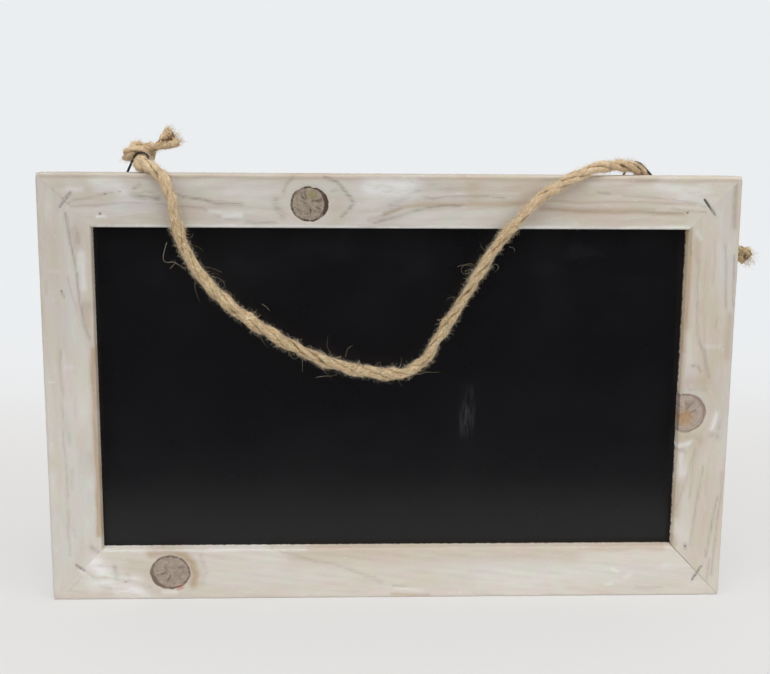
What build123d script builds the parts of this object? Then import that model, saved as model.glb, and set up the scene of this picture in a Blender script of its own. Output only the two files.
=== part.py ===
from build123d import *
from math import ceil, cos, degrees, pi, radians, sin, tan
import os

# Small wall chalkboard: a mitred, whitewashed pine frame round a blackboard panel,
# hung from a knotted jute rope that passes through two wire eyes behind the top rail.
# X runs along the board, the writing side faces -Y, Z is up from the bottom edge. Millimetres.

# Frame
board_width = 400.0
board_height = 252.0
frame_depth = 20.0
rail_face = 30.0
arris_chamfer = 1.0
sight_arris_radius = 0.8
corner_chamfer = 2.0
cut_overrun = 5.0

# Rebate behind the lip, and the panel in it
lip_depth = 8.0
rebate_width = 8.0
panel_thickness = 3.0
panel_side_clearance = 0.5

# Corner staples driven across each mitre, with the crown just under the face
staple_crown = 14.0
staple_leg = 11.0
staple_wire_width = 1.3
staple_wire_depth = 0.8
staple_set = 0.3
staple_slot_clearance = 0.05
staple_place_share = {
    "top_left": (0.52, 52.0),
    "top_right": (0.60, -54.0),
    "bottom_left": (0.62, -35.0),
    "bottom_right": (0.47, 59.0),
}

# Points pressed into the rebate's wall that hold the panel from behind
point_length = 15.0
point_width = 6.0
point_thickness = 0.6
point_grip = 7.0
point_nose_share = 0.35
point_panel_gap = 0.1
point_slot_clearance = 0.05
long_side_point_shares = (-0.36, 0.0, 0.36)
short_side_point_shares = (-0.25, 0.25)

# Wire eyes on the back of the top rail
eye_inset = 56.0
eye_wire = 1.4
eye_wire_sides = 10
eye_base = 16.0
eye_leg_angle = 65.0
eye_crown_radius = 4.6
eye_foot_drop = 5.0
eye_foot_depth = 7.0
eye_foot_radius = 0.9
eye_lean_radius = 2.4
eye_back_gap = 0.2
eye_hole_clearance = 0.1
right_eye_lean = 50.0

# Jute rope, pulled thinner where it is knotted
rope_diameter = 8.0
rope_sides = 12
rope_tangent_share = 0.45
knot_strand = 4.4
knot_ring = 6.4
knot_wave = 3.1
knot_cut_angle = 24.0
knot_turns = 14
knot_facet_angle = 24.0
gap_samples = 24

# The rope's route from behind the left eye to the right knot, over the front of the board
rope_route = [
    (-144.0, 11.6, 256.4),
    (-142.6, 4.4, 256.9),
    (-139.2, -3.6, 257.8),
    (-135.2, -10.8, 256.8),
    (-131.0, -15.6, 251.2),
    (-127.8, -16.4, 242.8),
    (-124.0, -15.6, 231.1),
    (-119.4, -15.2, 214.1),
    (-108.9, -15.0, 195.1),
    (-93.4, -15.0, 179.1),
    (-74.4, -15.0, 165.1),
    (-52.9, -15.2, 152.6),
    (-31.4, -15.4, 143.4),
    (-11.4, -15.6, 138.6),
    (4.1, -15.6, 135.8),
    (17.1, -15.4, 142.6),
    (25.1, -15.0, 157.1),
    (36.1, -14.8, 176.1),
    (47.6, -14.8, 195.6),
    (58.1, -15.0, 213.1),
    (70.6, -15.6, 227.1),
    (82.6, -16.2, 239.6),
    (95.0, -16.2, 249.0),
    (105.5, -13.8, 255.8),
    (116.0, -9.6, 259.2),
    (126.4, -3.6, 259.8),
    (135.4, 3.0, 259.2),
    (141.6, 9.4, 257.6),
    (144.8, 15.4, 253.0),
    (148.2, 18.6, 246.2),
    (154.6, 18.8, 238.0),
    (163.6, 18.8, 230.0),
    (173.0, 18.8, 223.2),
    (181.6, 18.6, 217.0),
]
left_end_count = 3
right_end_count = 9
left_tail_route = [(-136.0, 20.0, 266.0), (-131.4, 19.4, 269.2), (-126.2, 19.0, 272.2)]
right_tail_route = [(207.4, 17.6, 212.6), (212.4, 16.6, 208.0), (218.6, 15.8, 202.2)]
left_knot_place = ((-145.9, 22.0, 262.5), (0.752, -0.649, -0.112), (0.060, 0.238, -0.969))
right_knot_place = ((194.2, 19.1, 206.9), (0.068, -0.158, 0.985), (-0.545, -0.833, -0.095))

half_width = board_width / 2
half_depth = frame_depth / 2
panel_front = -half_depth + lip_depth
rope_radius = rope_diameter / 2
knot_radius = knot_strand / 2
eye_plane = half_depth + eye_back_gap + eye_wire / 2
eye_x = half_width - eye_inset
eye_places = {"left": (-eye_x, 0.0), "right": (eye_x, right_eye_lean)}


def block(x_range, y_range, z_range):
    # Box between two corners
    low = Vector(x_range[0], y_range[0], z_range[0])
    high = Vector(x_range[1], y_range[1], z_range[1])
    size = high - low
    return Pos(*((low + high) / 2)) * Box(size.X, size.Y, size.Z)


def frame_blank():
    # The glued-up frame before it is parted at the mitres: eased outside, sight opening and rebate
    blank = block((-half_width, half_width), (-half_depth, half_depth), (0, board_height))
    blank = chamfer(blank.edges().filter_by(Axis.Y), corner_chamfer)
    faces = blank.faces().sort_by(Axis.Y)
    blank = chamfer(faces[0].edges() + faces[-1].edges(), arris_chamfer)
    sight_x = half_width - rail_face
    sight_z = (rail_face, board_height - rail_face)
    reach = half_depth + cut_overrun
    blank -= block((-sight_x, sight_x), (-reach, reach), sight_z)
    front = blank.faces().sort_by(Axis.Y)[0]
    blank = fillet(front.inner_wires()[0].edges(), sight_arris_radius)
    rebate_x = sight_x + rebate_width
    rebate_z = (sight_z[0] - rebate_width, sight_z[1] + rebate_width)
    return blank - block((-rebate_x, rebate_x), (panel_front, reach), rebate_z)


def mitre_blank(corners):
    # Prism through the whole depth of the frame over four corners given as (x, z)
    outline = make_face(Polyline(*[(x, z) for x, z in corners], close=True))
    upright = Plane(origin=(0, half_depth, 0), x_dir=(1, 0, 0), z_dir=(0, -1, 0))
    return extrude(upright * outline, frame_depth)


def frame_member_outlines():
    # Each member runs to the outer corners and is cut at 45 degrees to the inner ones
    left, right, low, high = -half_width, half_width, 0.0, board_height
    outer = {"tl": (left, high), "tr": (right, high), "br": (right, low), "bl": (left, low)}
    inner = {
        "tl": (left + rail_face, high - rail_face),
        "tr": (right - rail_face, high - rail_face),
        "br": (right - rail_face, low + rail_face),
        "bl": (left + rail_face, low + rail_face),
    }
    sides = {
        "top_rail": ("tl", "tr"),
        "right_stile": ("tr", "br"),
        "bottom_rail": ("br", "bl"),
        "left_stile": ("bl", "tl"),
    }
    return {name: [outer[a], outer[b], inner[b], inner[a]] for name, (a, b) in sides.items()}


def staple(clearance=0.0):
    # Crown along X just under the face, two legs going back into the wood
    front = -half_depth + staple_set
    wire = (-staple_wire_width / 2 - clearance, staple_wire_width / 2 + clearance)
    half_crown = staple_crown / 2 + clearance
    surface = -half_depth - cut_overrun if clearance else front
    crown = block((-half_crown, half_crown), (surface, front + staple_wire_depth + clearance), wire)
    inner = staple_crown / 2 - staple_wire_depth - clearance
    leg_end = front + staple_leg + clearance
    for side in (-1, 1):
        crown += block(sorted((side * inner, side * half_crown)), (front, leg_end), wire)
    return crown


def staple_places():
    # A share of the mitre's length from the outer corner, and the crown's angle to the horizontal
    places = {}
    for corner, (share, angle) in staple_place_share.items():
        across = -1 if "left" in corner else 1
        top = "top" in corner
        x = across * (half_width - share * rail_face)
        z = board_height - share * rail_face if top else share * rail_face
        places[corner] = Pos(x, 0, z) * Rot(0, -angle, 0)
    return places


def retaining_point(clearance=0.0):
    # Flat pointed plate lying in the X, Z plane, its nose pushed along +Z into the wood
    half = point_width / 2 + clearance
    nose = point_grip + clearance
    shoulder = nose - point_nose_share * point_grip
    tail = point_grip - point_length
    corners = [(-half, tail), (half, tail), (half, shoulder), (0, nose), (-half, shoulder)]
    plate = make_face(Polyline(*corners, close=True))
    upright = Plane(origin=(0, point_thickness / 2 + clearance, 0), x_dir=(1, 0, 0), z_dir=(0, -1, 0))
    return extrude(upright * plate, point_thickness + 2 * clearance)


def point_places():
    # Along each side of the rebate, against the panel's back
    y = panel_front + panel_thickness + point_panel_gap + point_thickness / 2
    wall_x = half_width - rail_face + rebate_width
    wall_low = rail_face - rebate_width
    wall_high = board_height - wall_low
    middle = board_height / 2
    places = []
    for share in long_side_point_shares:
        places.append(Pos(share * board_width, y, wall_high))
        places.append(Pos(share * board_width, y, wall_low) * Rot(0, 180, 0))
    for share in short_side_point_shares:
        places.append(Pos(wall_x, y, middle + share * board_height) * Rot(0, 90, 0))
        places.append(Pos(-wall_x, y, middle + share * board_height) * Rot(0, -90, 0))
    return places


def eye_route(x, lean):
    # In at one foot, up the back of the rail, round the crown and down again the same way
    slope = radians(eye_leg_angle)
    tilt = radians(lean)
    foot_x = eye_base / 2 + eye_foot_drop / tan(slope)
    foot_z = board_height - eye_foot_drop
    crown = eye_base / 2 * tan(slope)
    inside = (foot_x, half_depth - eye_foot_depth, foot_z)
    foot = (foot_x, eye_plane, foot_z)
    edge = (eye_base / 2, eye_plane, board_height)
    top = (0, eye_plane + crown * sin(tilt), board_height + crown * cos(tilt))
    side = [inside, foot, edge] if lean else [inside, foot]
    radii = [eye_foot_radius, eye_lean_radius] if lean else [eye_foot_radius]
    mirrored = [(-px, py, pz) for px, py, pz in reversed(side)]
    points = [(x + px, py, pz) for px, py, pz in side + [top] + mirrored]
    return points, radii + [eye_crown_radius] + radii[::-1]


def tube(points, radii, radius, sides):
    # Nearly round bar along straight runs joined by tangent arcs
    path = FilletPolyline(*points, radius=radii)
    start = Plane(origin=path @ 0, z_dir=path % 0)
    return sweep(start * RegularPolygon(radius, sides), path=path), path


def eye_holes(x, lean):
    # The two drilled holes that hold the feet
    points, _ = eye_route(x, lean)
    bore = eye_wire / 2 + eye_hole_clearance
    holes = []
    for foot in (points[0], points[-1]):
        depth = half_depth + cut_overrun - foot[1] + bore
        mouth = Plane(origin=(foot[0], half_depth + cut_overrun, foot[2]), z_dir=(0, -1, 0))
        holes.append(extrude(mouth * Circle(bore), depth))
    return holes


def turn_radii(points):
    # Each arc is as large as the shorter of its two runs allows
    radii = []
    for before, here, after in zip(points, points[1:], points[2:]):
        run_in = Vector(*here) - Vector(*before)
        run_out = Vector(*after) - Vector(*here)
        turn = radians(run_in.get_angle(run_out))
        radii.append(rope_tangent_share * min(run_in.length, run_out.length) / tan(turn / 2))
    return radii


def halfway(first, second):
    return tuple((a + b) / 2 for a, b in zip(first, second))


def knot_ring_points(place):
    # Overhand knot: a ring that winds twice round while it waves three times, opened at one wave
    origin, x_dir, z_dir = place
    knot_frame = Plane(origin=origin, x_dir=x_dir, z_dir=z_dir)
    opening = radians(knot_cut_angle)
    points = []
    for count in range(knot_turns + 1):
        t = opening + count * (2 * pi - 2 * opening) / knot_turns
        reach = knot_ring + knot_wave * cos(3 * t)
        local = Vector(reach * cos(2 * t), reach * sin(2 * t), knot_wave * sin(3 * t))
        points.append(tuple(knot_frame.from_local_coords(local)))
    return points


def faceted(path, radius, sides, facet_angle):
    # The same tube with each arc cut into short straight lengths, for the tight turns of a knot
    reached = 0.0
    places = [reached]
    for edge in path.order_edges():
        turn = 0.0 if edge.geom_type == GeomType.LINE else degrees(edge.length / edge.radius)
        count = max(1, ceil(turn / facet_angle))
        places += [reached + edge.length * (i + 1) / count for i in range(count)]
        reached += edge.length
    corners = Polyline(*[path @ (place / reached) for place in places])
    start = Plane(origin=corners @ 0, z_dir=corners % 0)
    return sweep(start * RegularPolygon(radius, sides), path=corners, transition=Transition.RIGHT)


def cord_section(route, first, last, radius):
    # Part of the cord from the middle of one run to the middle of another
    points = route[first:last + 1]
    radii = turn_radii(route)[max(first - 1, 0):last]
    if first > 0:
        points = [halfway(route[first - 1], route[first])] + points
    if last < len(route) - 1:
        points = points + [halfway(route[last], route[last + 1])]
    return tube(points, radii, radius, rope_sides)


def least_gap(path, thickness):
    # Smallest clear distance between parts of the strand that lie apart along it
    count = gap_samples * knot_turns
    apart = round(pi / 2 * thickness / path.length * count)
    points = [path @ (i / count) for i in range(count + 1)]
    gaps = []
    for i, here in enumerate(points):
        gaps += [(here - other).length for other in points[i + apart:]]
    return min(gaps) - thickness


os.makedirs("parts", exist_ok=True)
nodes = {}

blank = frame_blank()
staples = staple_places()
points_of_panel = point_places()
for name, outline in frame_member_outlines().items():
    member = blank & mitre_blank(outline)
    for place in staples.values():
        member -= place * staple(staple_slot_clearance)
    for place in points_of_panel:
        member -= place * retaining_point(point_slot_clearance)
    if name == "top_rail":
        for x, lean in eye_places.values():
            for hole in eye_holes(x, lean):
                member -= hole
    nodes[name] = member

panel_edge = rebate_width - panel_side_clearance
panel_x = half_width - rail_face + panel_edge
nodes["chalkboard_panel"] = block(
    (-panel_x, panel_x),
    (panel_front, panel_front + panel_thickness),
    (rail_face - panel_edge, board_height - rail_face + panel_edge),
)
for corner, place in staples.items():
    nodes[f"{corner}_staple"] = place * staple()
for count, place in enumerate(points_of_panel):
    nodes[f"panel_point_{count + 1}"] = place * retaining_point()

for side, (x, lean) in eye_places.items():
    points, radii = eye_route(x, lean)
    nodes[f"{side}_wire_eye"], _ = tube(points, radii, eye_wire / 2, eye_wire_sides)

left_knot = left_tail_route[::-1] + knot_ring_points(left_knot_place)[::-1]
right_knot = knot_ring_points(right_knot_place) + right_tail_route
cord_route = left_knot + rope_route + right_knot
rope_start = len(left_knot)
rope_end = rope_start + len(rope_route)
cord_parts = {
    "left_knot": (0, rope_start, knot_radius),
    "rope_left_end": (rope_start, rope_start + left_end_count, rope_radius),
    "rope_front_span": (rope_start + left_end_count, rope_end - right_end_count, rope_radius),
    "rope_right_end": (rope_end - right_end_count, rope_end, rope_radius),
    "right_knot": (rope_end, len(cord_route), knot_radius),
}
print("bend radii", [round(r, 1) for r in turn_radii(cord_route)])
for name, (first, end, radius) in cord_parts.items():
    nodes[name], path = cord_section(cord_route, first, end - 1, radius)
    section = RegularPolygon(radius, rope_sides).area
    share = nodes[name].volume / (section * path.length)
    print(f"{name}: length {path.length:.1f}, volume over section times length {share:.4f}")
    if "knot" in name:
        nodes[name] = faceted(path, radius, rope_sides, knot_facet_angle)
        print(f"{name}: least gap to itself {least_gap(path, 2 * radius):.2f}")

for name, solid in nodes.items():
    solid.label = name
    export_step(solid, f"parts/{name}.step")
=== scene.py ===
import bpy
import numpy as np
from mathutils import Matrix, Vector


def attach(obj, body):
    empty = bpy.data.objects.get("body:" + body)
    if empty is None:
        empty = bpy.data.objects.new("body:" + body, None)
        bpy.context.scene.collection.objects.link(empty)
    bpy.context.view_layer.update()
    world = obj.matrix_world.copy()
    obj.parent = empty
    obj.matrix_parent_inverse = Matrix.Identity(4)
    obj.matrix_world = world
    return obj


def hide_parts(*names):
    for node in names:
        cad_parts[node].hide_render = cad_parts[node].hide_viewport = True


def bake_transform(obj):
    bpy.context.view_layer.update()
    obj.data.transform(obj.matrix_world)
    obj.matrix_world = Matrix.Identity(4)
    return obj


# Wall chalkboard: mitred whitewashed pine frame, black writing panel, jute rope hanger through wire eyes.
# Metres, +X right, -Y out of the writing side, +Z up from the bottom edge.

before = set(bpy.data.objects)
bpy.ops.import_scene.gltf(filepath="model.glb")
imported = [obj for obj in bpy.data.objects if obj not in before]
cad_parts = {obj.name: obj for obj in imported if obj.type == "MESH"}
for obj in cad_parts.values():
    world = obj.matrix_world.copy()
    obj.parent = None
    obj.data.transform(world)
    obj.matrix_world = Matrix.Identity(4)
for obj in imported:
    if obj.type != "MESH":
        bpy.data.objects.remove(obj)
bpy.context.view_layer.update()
mm = 0.001


def addMesh(name, verts, faces, material, fields=None, sharp=40.0):
    # Mesh object at the origin; fields are point attributes, one number or one vector a vertex
    mesh = bpy.data.meshes.new(name)
    mesh.from_pydata(np.asarray(verts).tolist(), [], faces)
    for field, values in (fields or {}).items():
        values = np.asarray(values, dtype=np.float32)
        kind, slot = ("FLOAT_VECTOR", "vector") if values.ndim == 2 else ("FLOAT", "value")
        mesh.attributes.new(field, kind, "POINT").data.foreach_set(slot, values.ravel())
    mesh.shade_smooth()
    mesh.set_sharp_from_angle(angle=np.radians(sharp))
    mesh.materials.append(material)
    thing = bpy.data.objects.new(name, mesh)
    bpy.context.scene.collection.objects.link(thing)
    return thing


def gridFaces(rows, columns, start=0, closed=True, flip=False):
    # Quads of a grid of vertices, row by row; closed joins the last column to the first
    wide = columns if closed else columns - 1
    row, column = np.meshgrid(np.arange(rows - 1), np.arange(wide), indexing="ij")
    after = (column + 1) % columns
    quads = np.stack([row * columns + column, row * columns + after,
                      (row + 1) * columns + after, (row + 1) * columns + column], -1).reshape(-1, 4) + start
    return (quads[:, ::-1] if flip else quads).tolist()


def wander(places, scale, seed, waves=7):
    # Smooth random height: the mean of a few sine waves in random directions
    rng = np.random.default_rng(seed)
    total = 0.0
    for _ in range(waves):
        direction = rng.normal(size=places.shape[1])
        direction *= rng.uniform(0.6, 1.6) / (scale * np.linalg.norm(direction))
        total = total + np.sin(places @ direction * 2 * np.pi + rng.uniform(0, 2 * np.pi))
    return total / waves ** 0.5


# Shader helpers

def fillSocket(tree, socket, value):
    # Links another node's output to the socket, or sets the socket's own value
    if isinstance(value, bpy.types.NodeSocket):
        tree.links.new(value, socket)
    elif socket.type == "RGBA":
        socket.default_value = (*value, 1.0)
    else:
        socket.default_value = value


def addNode(tree, kind, inputs=None, **settings):
    node = tree.nodes.new("ShaderNode" + kind)
    for key, value in settings.items():
        setattr(node, key, value)
    for key, value in (inputs or {}).items():
        fillSocket(tree, node.inputs[key], value)
    return node


def calc(tree, operation, *values):
    return addNode(tree, "Math", dict(enumerate(values)), operation=operation).outputs[0]


def times(tree, first, second):
    return calc(tree, "MULTIPLY", first, second)


def vectorCalc(tree, operation, *values):
    node = addNode(tree, "VectorMath", dict(enumerate(values)), operation=operation)
    return node.outputs["Value" if operation in ("LENGTH", "DISTANCE") else "Vector"]


def parts(tree, vector):
    return addNode(tree, "SeparateXYZ", {"Vector": vector}).outputs


def joined(tree, x, y, z=0.0):
    return addNode(tree, "CombineXYZ", {"X": x, "Y": y, "Z": z}).outputs[0]


def objectPlace(tree):
    return addNode(tree, "TexCoord").outputs["Object"]


def attribute(tree, name, output="Vector"):
    return addNode(tree, "Attribute", attribute_name=name).outputs[output]


def remap(tree, value, low, high, toLow=0.0, toHigh=1.0):
    # Smooth step from one range to another
    inputs = {"Value": value, "From Min": low, "From Max": high, "To Min": toLow, "To Max": toHigh}
    return addNode(tree, "MapRange", inputs, interpolation_type="SMOOTHSTEP").outputs["Result"]


def noise(tree, vector, scale, detail, roughness=0.5):
    inputs = {"Vector": vector, "Scale": scale, "Detail": detail, "Roughness": roughness}
    return addNode(tree, "TexNoise", inputs).outputs["Fac"]


def drawnNoise(tree, vector, scale, detail, roughness=0.5, shift=(0.0, 0.0, 0.0)):
    # Noise with a scale of its own along each axis; it is drawn out where the scale is small
    mapped = addNode(tree, "Mapping", {"Vector": vector, "Scale": scale, "Location": shift})
    return noise(tree, mapped.outputs["Vector"], 1.0, detail, roughness)


def blendColor(tree, factor, first, second, mode="MIX"):
    inputs = {0: factor, 6: first, 7: second}
    return addNode(tree, "Mix", inputs, data_type="RGBA", blend_type=mode, clamp_factor=True).outputs[2]


def layer(tree, color, tone, mask, share):
    # A share of the tone laid over the color where the mask is 1
    return blendColor(tree, times(tree, mask, share), color, tone)


def addGroup(name, inputs, outputs):
    # Node group with named sockets; returns the tree with its input and output nodes
    tree = bpy.data.node_groups.new(name, "ShaderNodeTree")
    for way, sockets in (("INPUT", inputs), ("OUTPUT", outputs)):
        for key, kind in sockets.items():
            tree.interface.new_socket(key, in_out=way, socket_type="NodeSocket" + kind)
    return tree, tree.nodes.new("NodeGroupInput"), tree.nodes.new("NodeGroupOutput")


def useGroup(tree, group, inputs):
    return addNode(tree, "Group", inputs, node_tree=group).outputs


def addMaterial(name):
    material = bpy.data.materials.new(name)
    material.use_nodes = True
    tree = material.node_tree
    return material, tree, tree.nodes["Principled BSDF"]


def setSurface(tree, shader, color, roughness, height=None, depth=0.0, strength=1.0, **values):
    # Fills the shader's main sockets; the bump stands depth metres high where height is 1
    fillSocket(tree, shader.inputs["Base Color"], color)
    fillSocket(tree, shader.inputs["Roughness"], roughness)
    if height is not None:
        bump = addNode(tree, "Bump", {"Height": height, "Distance": depth, "Strength": strength})
        tree.links.new(bump.outputs["Normal"], shader.inputs["Normal"])
    for key, value in values.items():
        shader.inputs[key.replace("_", " ")].default_value = value


# Camera, from a fit to the frame's eight corners

camera = {"yaw": 2.304, "pitch": 10.319, "roll": 0.451, "lens": 56.50, "sensor": 36.0,
          "place": (-0.03144, -0.69557, 0.28411)}
yaw, pitch, roll = (np.radians(camera[key]) for key in ("yaw", "pitch", "roll"))
forward = Vector((np.sin(yaw) * np.cos(pitch), np.cos(yaw) * np.cos(pitch), -np.sin(pitch)))
level = Vector((np.cos(yaw), -np.sin(yaw), 0.0))
right = level * np.cos(roll) + level.cross(forward) * np.sin(roll)
up = right.cross(forward)
lens = bpy.data.cameras.new("camera")
lens.lens = camera["lens"]
lens.sensor_width = camera["sensor"]
viewer = bpy.data.objects.new("camera", lens)
viewer.matrix_world = Matrix((right, up, -forward)).transposed().to_4x4()
viewer.location = camera["place"]
bpy.context.scene.collection.objects.link(viewer)
bpy.context.scene.camera = viewer
bpy.context.scene.view_settings.view_transform = "Standard"

# Light: soft box above and to the left in front, one overhead, broad fill, dark room for reflections

lamps = {
    "key": {"place": (-0.75, -1.15, 1.25), "aim": (0.0, 0.0, 0.12), "size": 2.0, "power": 10.3},
    "overhead": {"place": (0.1, -0.25, 1.6), "aim": (0.0, 0.0, 0.0), "size": 1.4, "power": 11.2},
    "fill": {"place": (1.15, -1.15, 0.9), "aim": (0.0, 0.0, 0.12), "size": 2.0, "power": 8.8},
}
for name, lamp in lamps.items():
    light = bpy.data.lights.new(name, "AREA")
    light.size, light.energy = lamp["size"], lamp["power"]
    thing = bpy.data.objects.new(name, light)
    thing.location = lamp["place"]
    thing.rotation_euler = (Vector(lamp["aim"]) - thing.location).to_track_quat("-Z", "Y").to_euler()
    thing.visible_glossy = name == "overhead"
    bpy.context.scene.collection.objects.link(thing)

room = {"seen": (0.835, 0.855, 0.87), "fill": (0.40, 0.41, 0.42), "mirrored": (0.010, 0.010, 0.011)}
world = bpy.data.worlds.new("room")
bpy.context.scene.world = world
world.use_nodes = True
tree = world.node_tree
ray = addNode(tree, "LightPath")
tone = blendColor(tree, ray.outputs["Is Glossy Ray"], room["fill"], room["mirrored"])
tone = blendColor(tree, ray.outputs["Is Camera Ray"], tone, room["seen"])
tree.links.new(tone, tree.nodes["Background"].inputs["Color"])

# Pale table that runs back into a wall through a long curve

# The camera sees its own shade go over to an even tone; mirrored, it ends a hand's width before the board.
sweepShape = {
    "half_width": 3.0, "front": -0.60, "bend": 0.7, "radius": 1.2, "top": 2.6, "steps": 24,
    "paper": (0.80, 0.795, 0.785), "floor": (0.80, 0.785, 0.77), "wall": (0.835, 0.855, 0.872),
    "wall_tone": (0.1, 0.9), "own_shade": 0.45, "shade_ends": (0.05, 0.6),
    "mirrored": (0.01, 0.01, 0.011), "mirrored_to": -0.185,
}
material, tree, shader = addMaterial("tablePaper")
setSurface(tree, shader, sweepShape["paper"], 0.75, Specular_IOR_Level=0.2)
back = parts(tree, objectPlace(tree))["Y"]
tone = blendColor(tree, remap(tree, back, *sweepShape["wall_tone"]), sweepShape["floor"], sweepShape["wall"])
even = addNode(tree, "Emission", {"Color": tone})
dark = addNode(tree, "Emission", {"Color": sweepShape["mirrored"]})
ray = addNode(tree, "LightPath").outputs
share = remap(tree, back, *sweepShape["shade_ends"], 1 - sweepShape["own_shade"], 1.0)
share = times(tree, ray["Is Camera Ray"], share)
mixed = addNode(tree, "MixShader", {0: share, 1: shader.outputs[0], 2: even.outputs[0]})
hidden = times(tree, ray["Is Glossy Ray"], calc(tree, "LESS_THAN", back, sweepShape["mirrored_to"]))
mixed = addNode(tree, "MixShader", {0: hidden, 1: mixed.outputs[0], 2: dark.outputs[0]})
tree.links.new(mixed.outputs[0], tree.nodes["Material Output"].inputs["Surface"])
turns = np.linspace(0, np.pi / 2, sweepShape["steps"])
bend = np.stack([sweepShape["bend"] + sweepShape["radius"] * np.sin(turns),
                 sweepShape["radius"] * (1 - np.cos(turns))], -1)
profile = np.concatenate([[(sweepShape["front"], 0.0), (0.0, 0.0)], bend, [(bend[-1, 0], sweepShape["top"])]])
sides = np.tile((-sweepShape["half_width"], sweepShape["half_width"]), len(profile))
verts = np.column_stack([sides, np.repeat(profile, 2, axis=0)])
table = addMesh("table", verts, gridFaces(len(profile), 2, closed=False), material)
print("room done")

# Wooden frame. Along a member: s from its middle, t from its outer edge, y through its depth, in millimetres.

board = {
    "width": 400.0, "height": 252.0, "depth": 20.0, "lip": 8.0, "rebate": 8.0,
    "arris": 1.4, "sight_arris": 0.8, "corner": 3.0,
    # Spacing of the grid along a member, near its ends and between them, and round its section
    "fine": 0.4, "coarse": 1.2, "fine_reach": 27.0,
    "lip_step": 0.5, "side_step": 1.0, "back_step": 3.0, "rebate_step": 4.0,
    # The columns lean over to the mitre's angle towards the end, and the mitre's gap opens at the end
    "lean_from": 2.0, "lean_reach": 70.0, "gap_reach": 3.0,
}
faceWidths = {"top_rail": 30.2, "bottom_rail": 31.2, "left_stile": 29.8, "right_stile": 29.8}
halfWide, high = board["width"] / 2, board["height"]
members = {
    "top_rail": {"length": board["width"], "middle": (0.0, high), "along": (1, 0), "inward": (0, -1),
                 "ends": ("top_left", "top_right"), "meets": ("left_stile", "right_stile"), "grain": 0.13},
    "bottom_rail": {"length": board["width"], "middle": (0.0, 0.0), "along": (1, 0), "inward": (0, 1),
                    "ends": ("bottom_left", "bottom_right"), "meets": ("left_stile", "right_stile"),
                    "grain": 0.41},
    "left_stile": {"length": high, "middle": (-halfWide, high / 2), "along": (0, 1), "inward": (1, 0),
                   "ends": ("bottom_left", "top_left"), "meets": ("bottom_rail", "top_rail"), "grain": 0.72},
    "right_stile": {"length": high, "middle": (halfWide, high / 2), "along": (0, 1), "inward": (-1, 0),
                    "ends": ("bottom_right", "top_right"), "meets": ("bottom_rail", "top_rail"),
                    "grain": 0.95},
}
# Surface of the wood: slow waves over the face, and arrises worn unevenly
relief = {
    "wave": 0.10, "wave_along": 30.0, "wave_across": 6.0,
    "worn": 0.22, "worn_along": 9.0, "worn_across": 40.0,
    "arris_reach": 1.6, "sight_reach": 1.0, "outer_side": 0.6,
    "sight_skin": 0.4, "outer_skin": 0.9,  # how far in from its surface a side is still that side
    "grain_shift": (997, 61),  # along and across, so that no two members show the same grain
}
# Staples: bare is the stretch of crown that shows, wear is how much wash is gone there
staples = {
    "top_left": {"place": (-184.4, 236.4), "angle": 52.0, "bare": (-5.5, 7.0), "wear": 0.55},
    "top_right": {"place": (182.0, 234.0), "angle": -54.0, "bare": (-7.0, 5.5), "wear": 0.75},
    "bottom_left": {"place": (-181.4, 18.6), "angle": -35.0, "bare": (-6.5, 1.5), "wear": 0.45},
    "bottom_right": {"place": (185.9, 14.1), "angle": 59.0, "bare": (-6.0, 6.0), "wear": 0.6},
}
stapleBed = {
    "half_length": 7.6, "end": 0.5, "half_width": 1.0, "side": 0.45, "bare_end": 1.5,
    "covered": 0.10, "shown": 0.18, "worn": 0.26, "patchy": 0.14, "patch_along": 3.5, "patch_across": 1.2,
    "dirt": 0.14, "dirt_half_length": 7.4, "dirt_width": 0.9,
}
# Knots: strengths of ring and dark, the angle where the ring is thick, and a patch (x, z, reach) in radii
knots = {
    "top_rail": {"place": (-47.2, 235.5), "radii": (10.8, 9.8), "seed": 0.37, "ring": 1.0, "dark": 0.9,
                 "thick": 0.05, "patch": (0.1, 0.52, 0.30), "patch_tone": (0.30, 0.25, 0.10)},
    "bottom_rail": {"place": (-130.4, 16.8), "radii": (11.8, 10.4), "seed": 0.61, "ring": 0.72, "dark": 0.48,
                    "thick": -2.6, "patch": (0.48, -0.95, 0.30), "patch_tone": (0.62, 0.20, 0.07)},
    "right_stile": {"place": (174.1, 113.7), "radii": (11.8, 11.8), "seed": 0.83, "ring": 0.50, "dark": 0.22,
                    "thick": 0.6, "patch": (-0.05, -0.25, 0.52), "patch_tone": (0.48, 0.27, 0.11)},
}
noKnot = {"place": (0.0, -500.0), "radii": (10.0, 10.0), "seed": 0.0, "ring": 0.0, "dark": 0.0, "thick": 0.0,
          "patch": (9.0, 9.0, 1.0), "patch_tone": (0.0, 0.0, 0.0)}
knotRim = {"push_fade": 1.6, "groove": 0.25, "groove_width": 0.08}
# Chalk that lies over the bottom left mitre
cornerChalk = [
    ([(-184.3, 18.5), (-177.3, 13.4)], 0.8, 0.7),
    ([(-174.3, 9.4), (-150.4, 11.4)], 5.0, 0.55),
]
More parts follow.
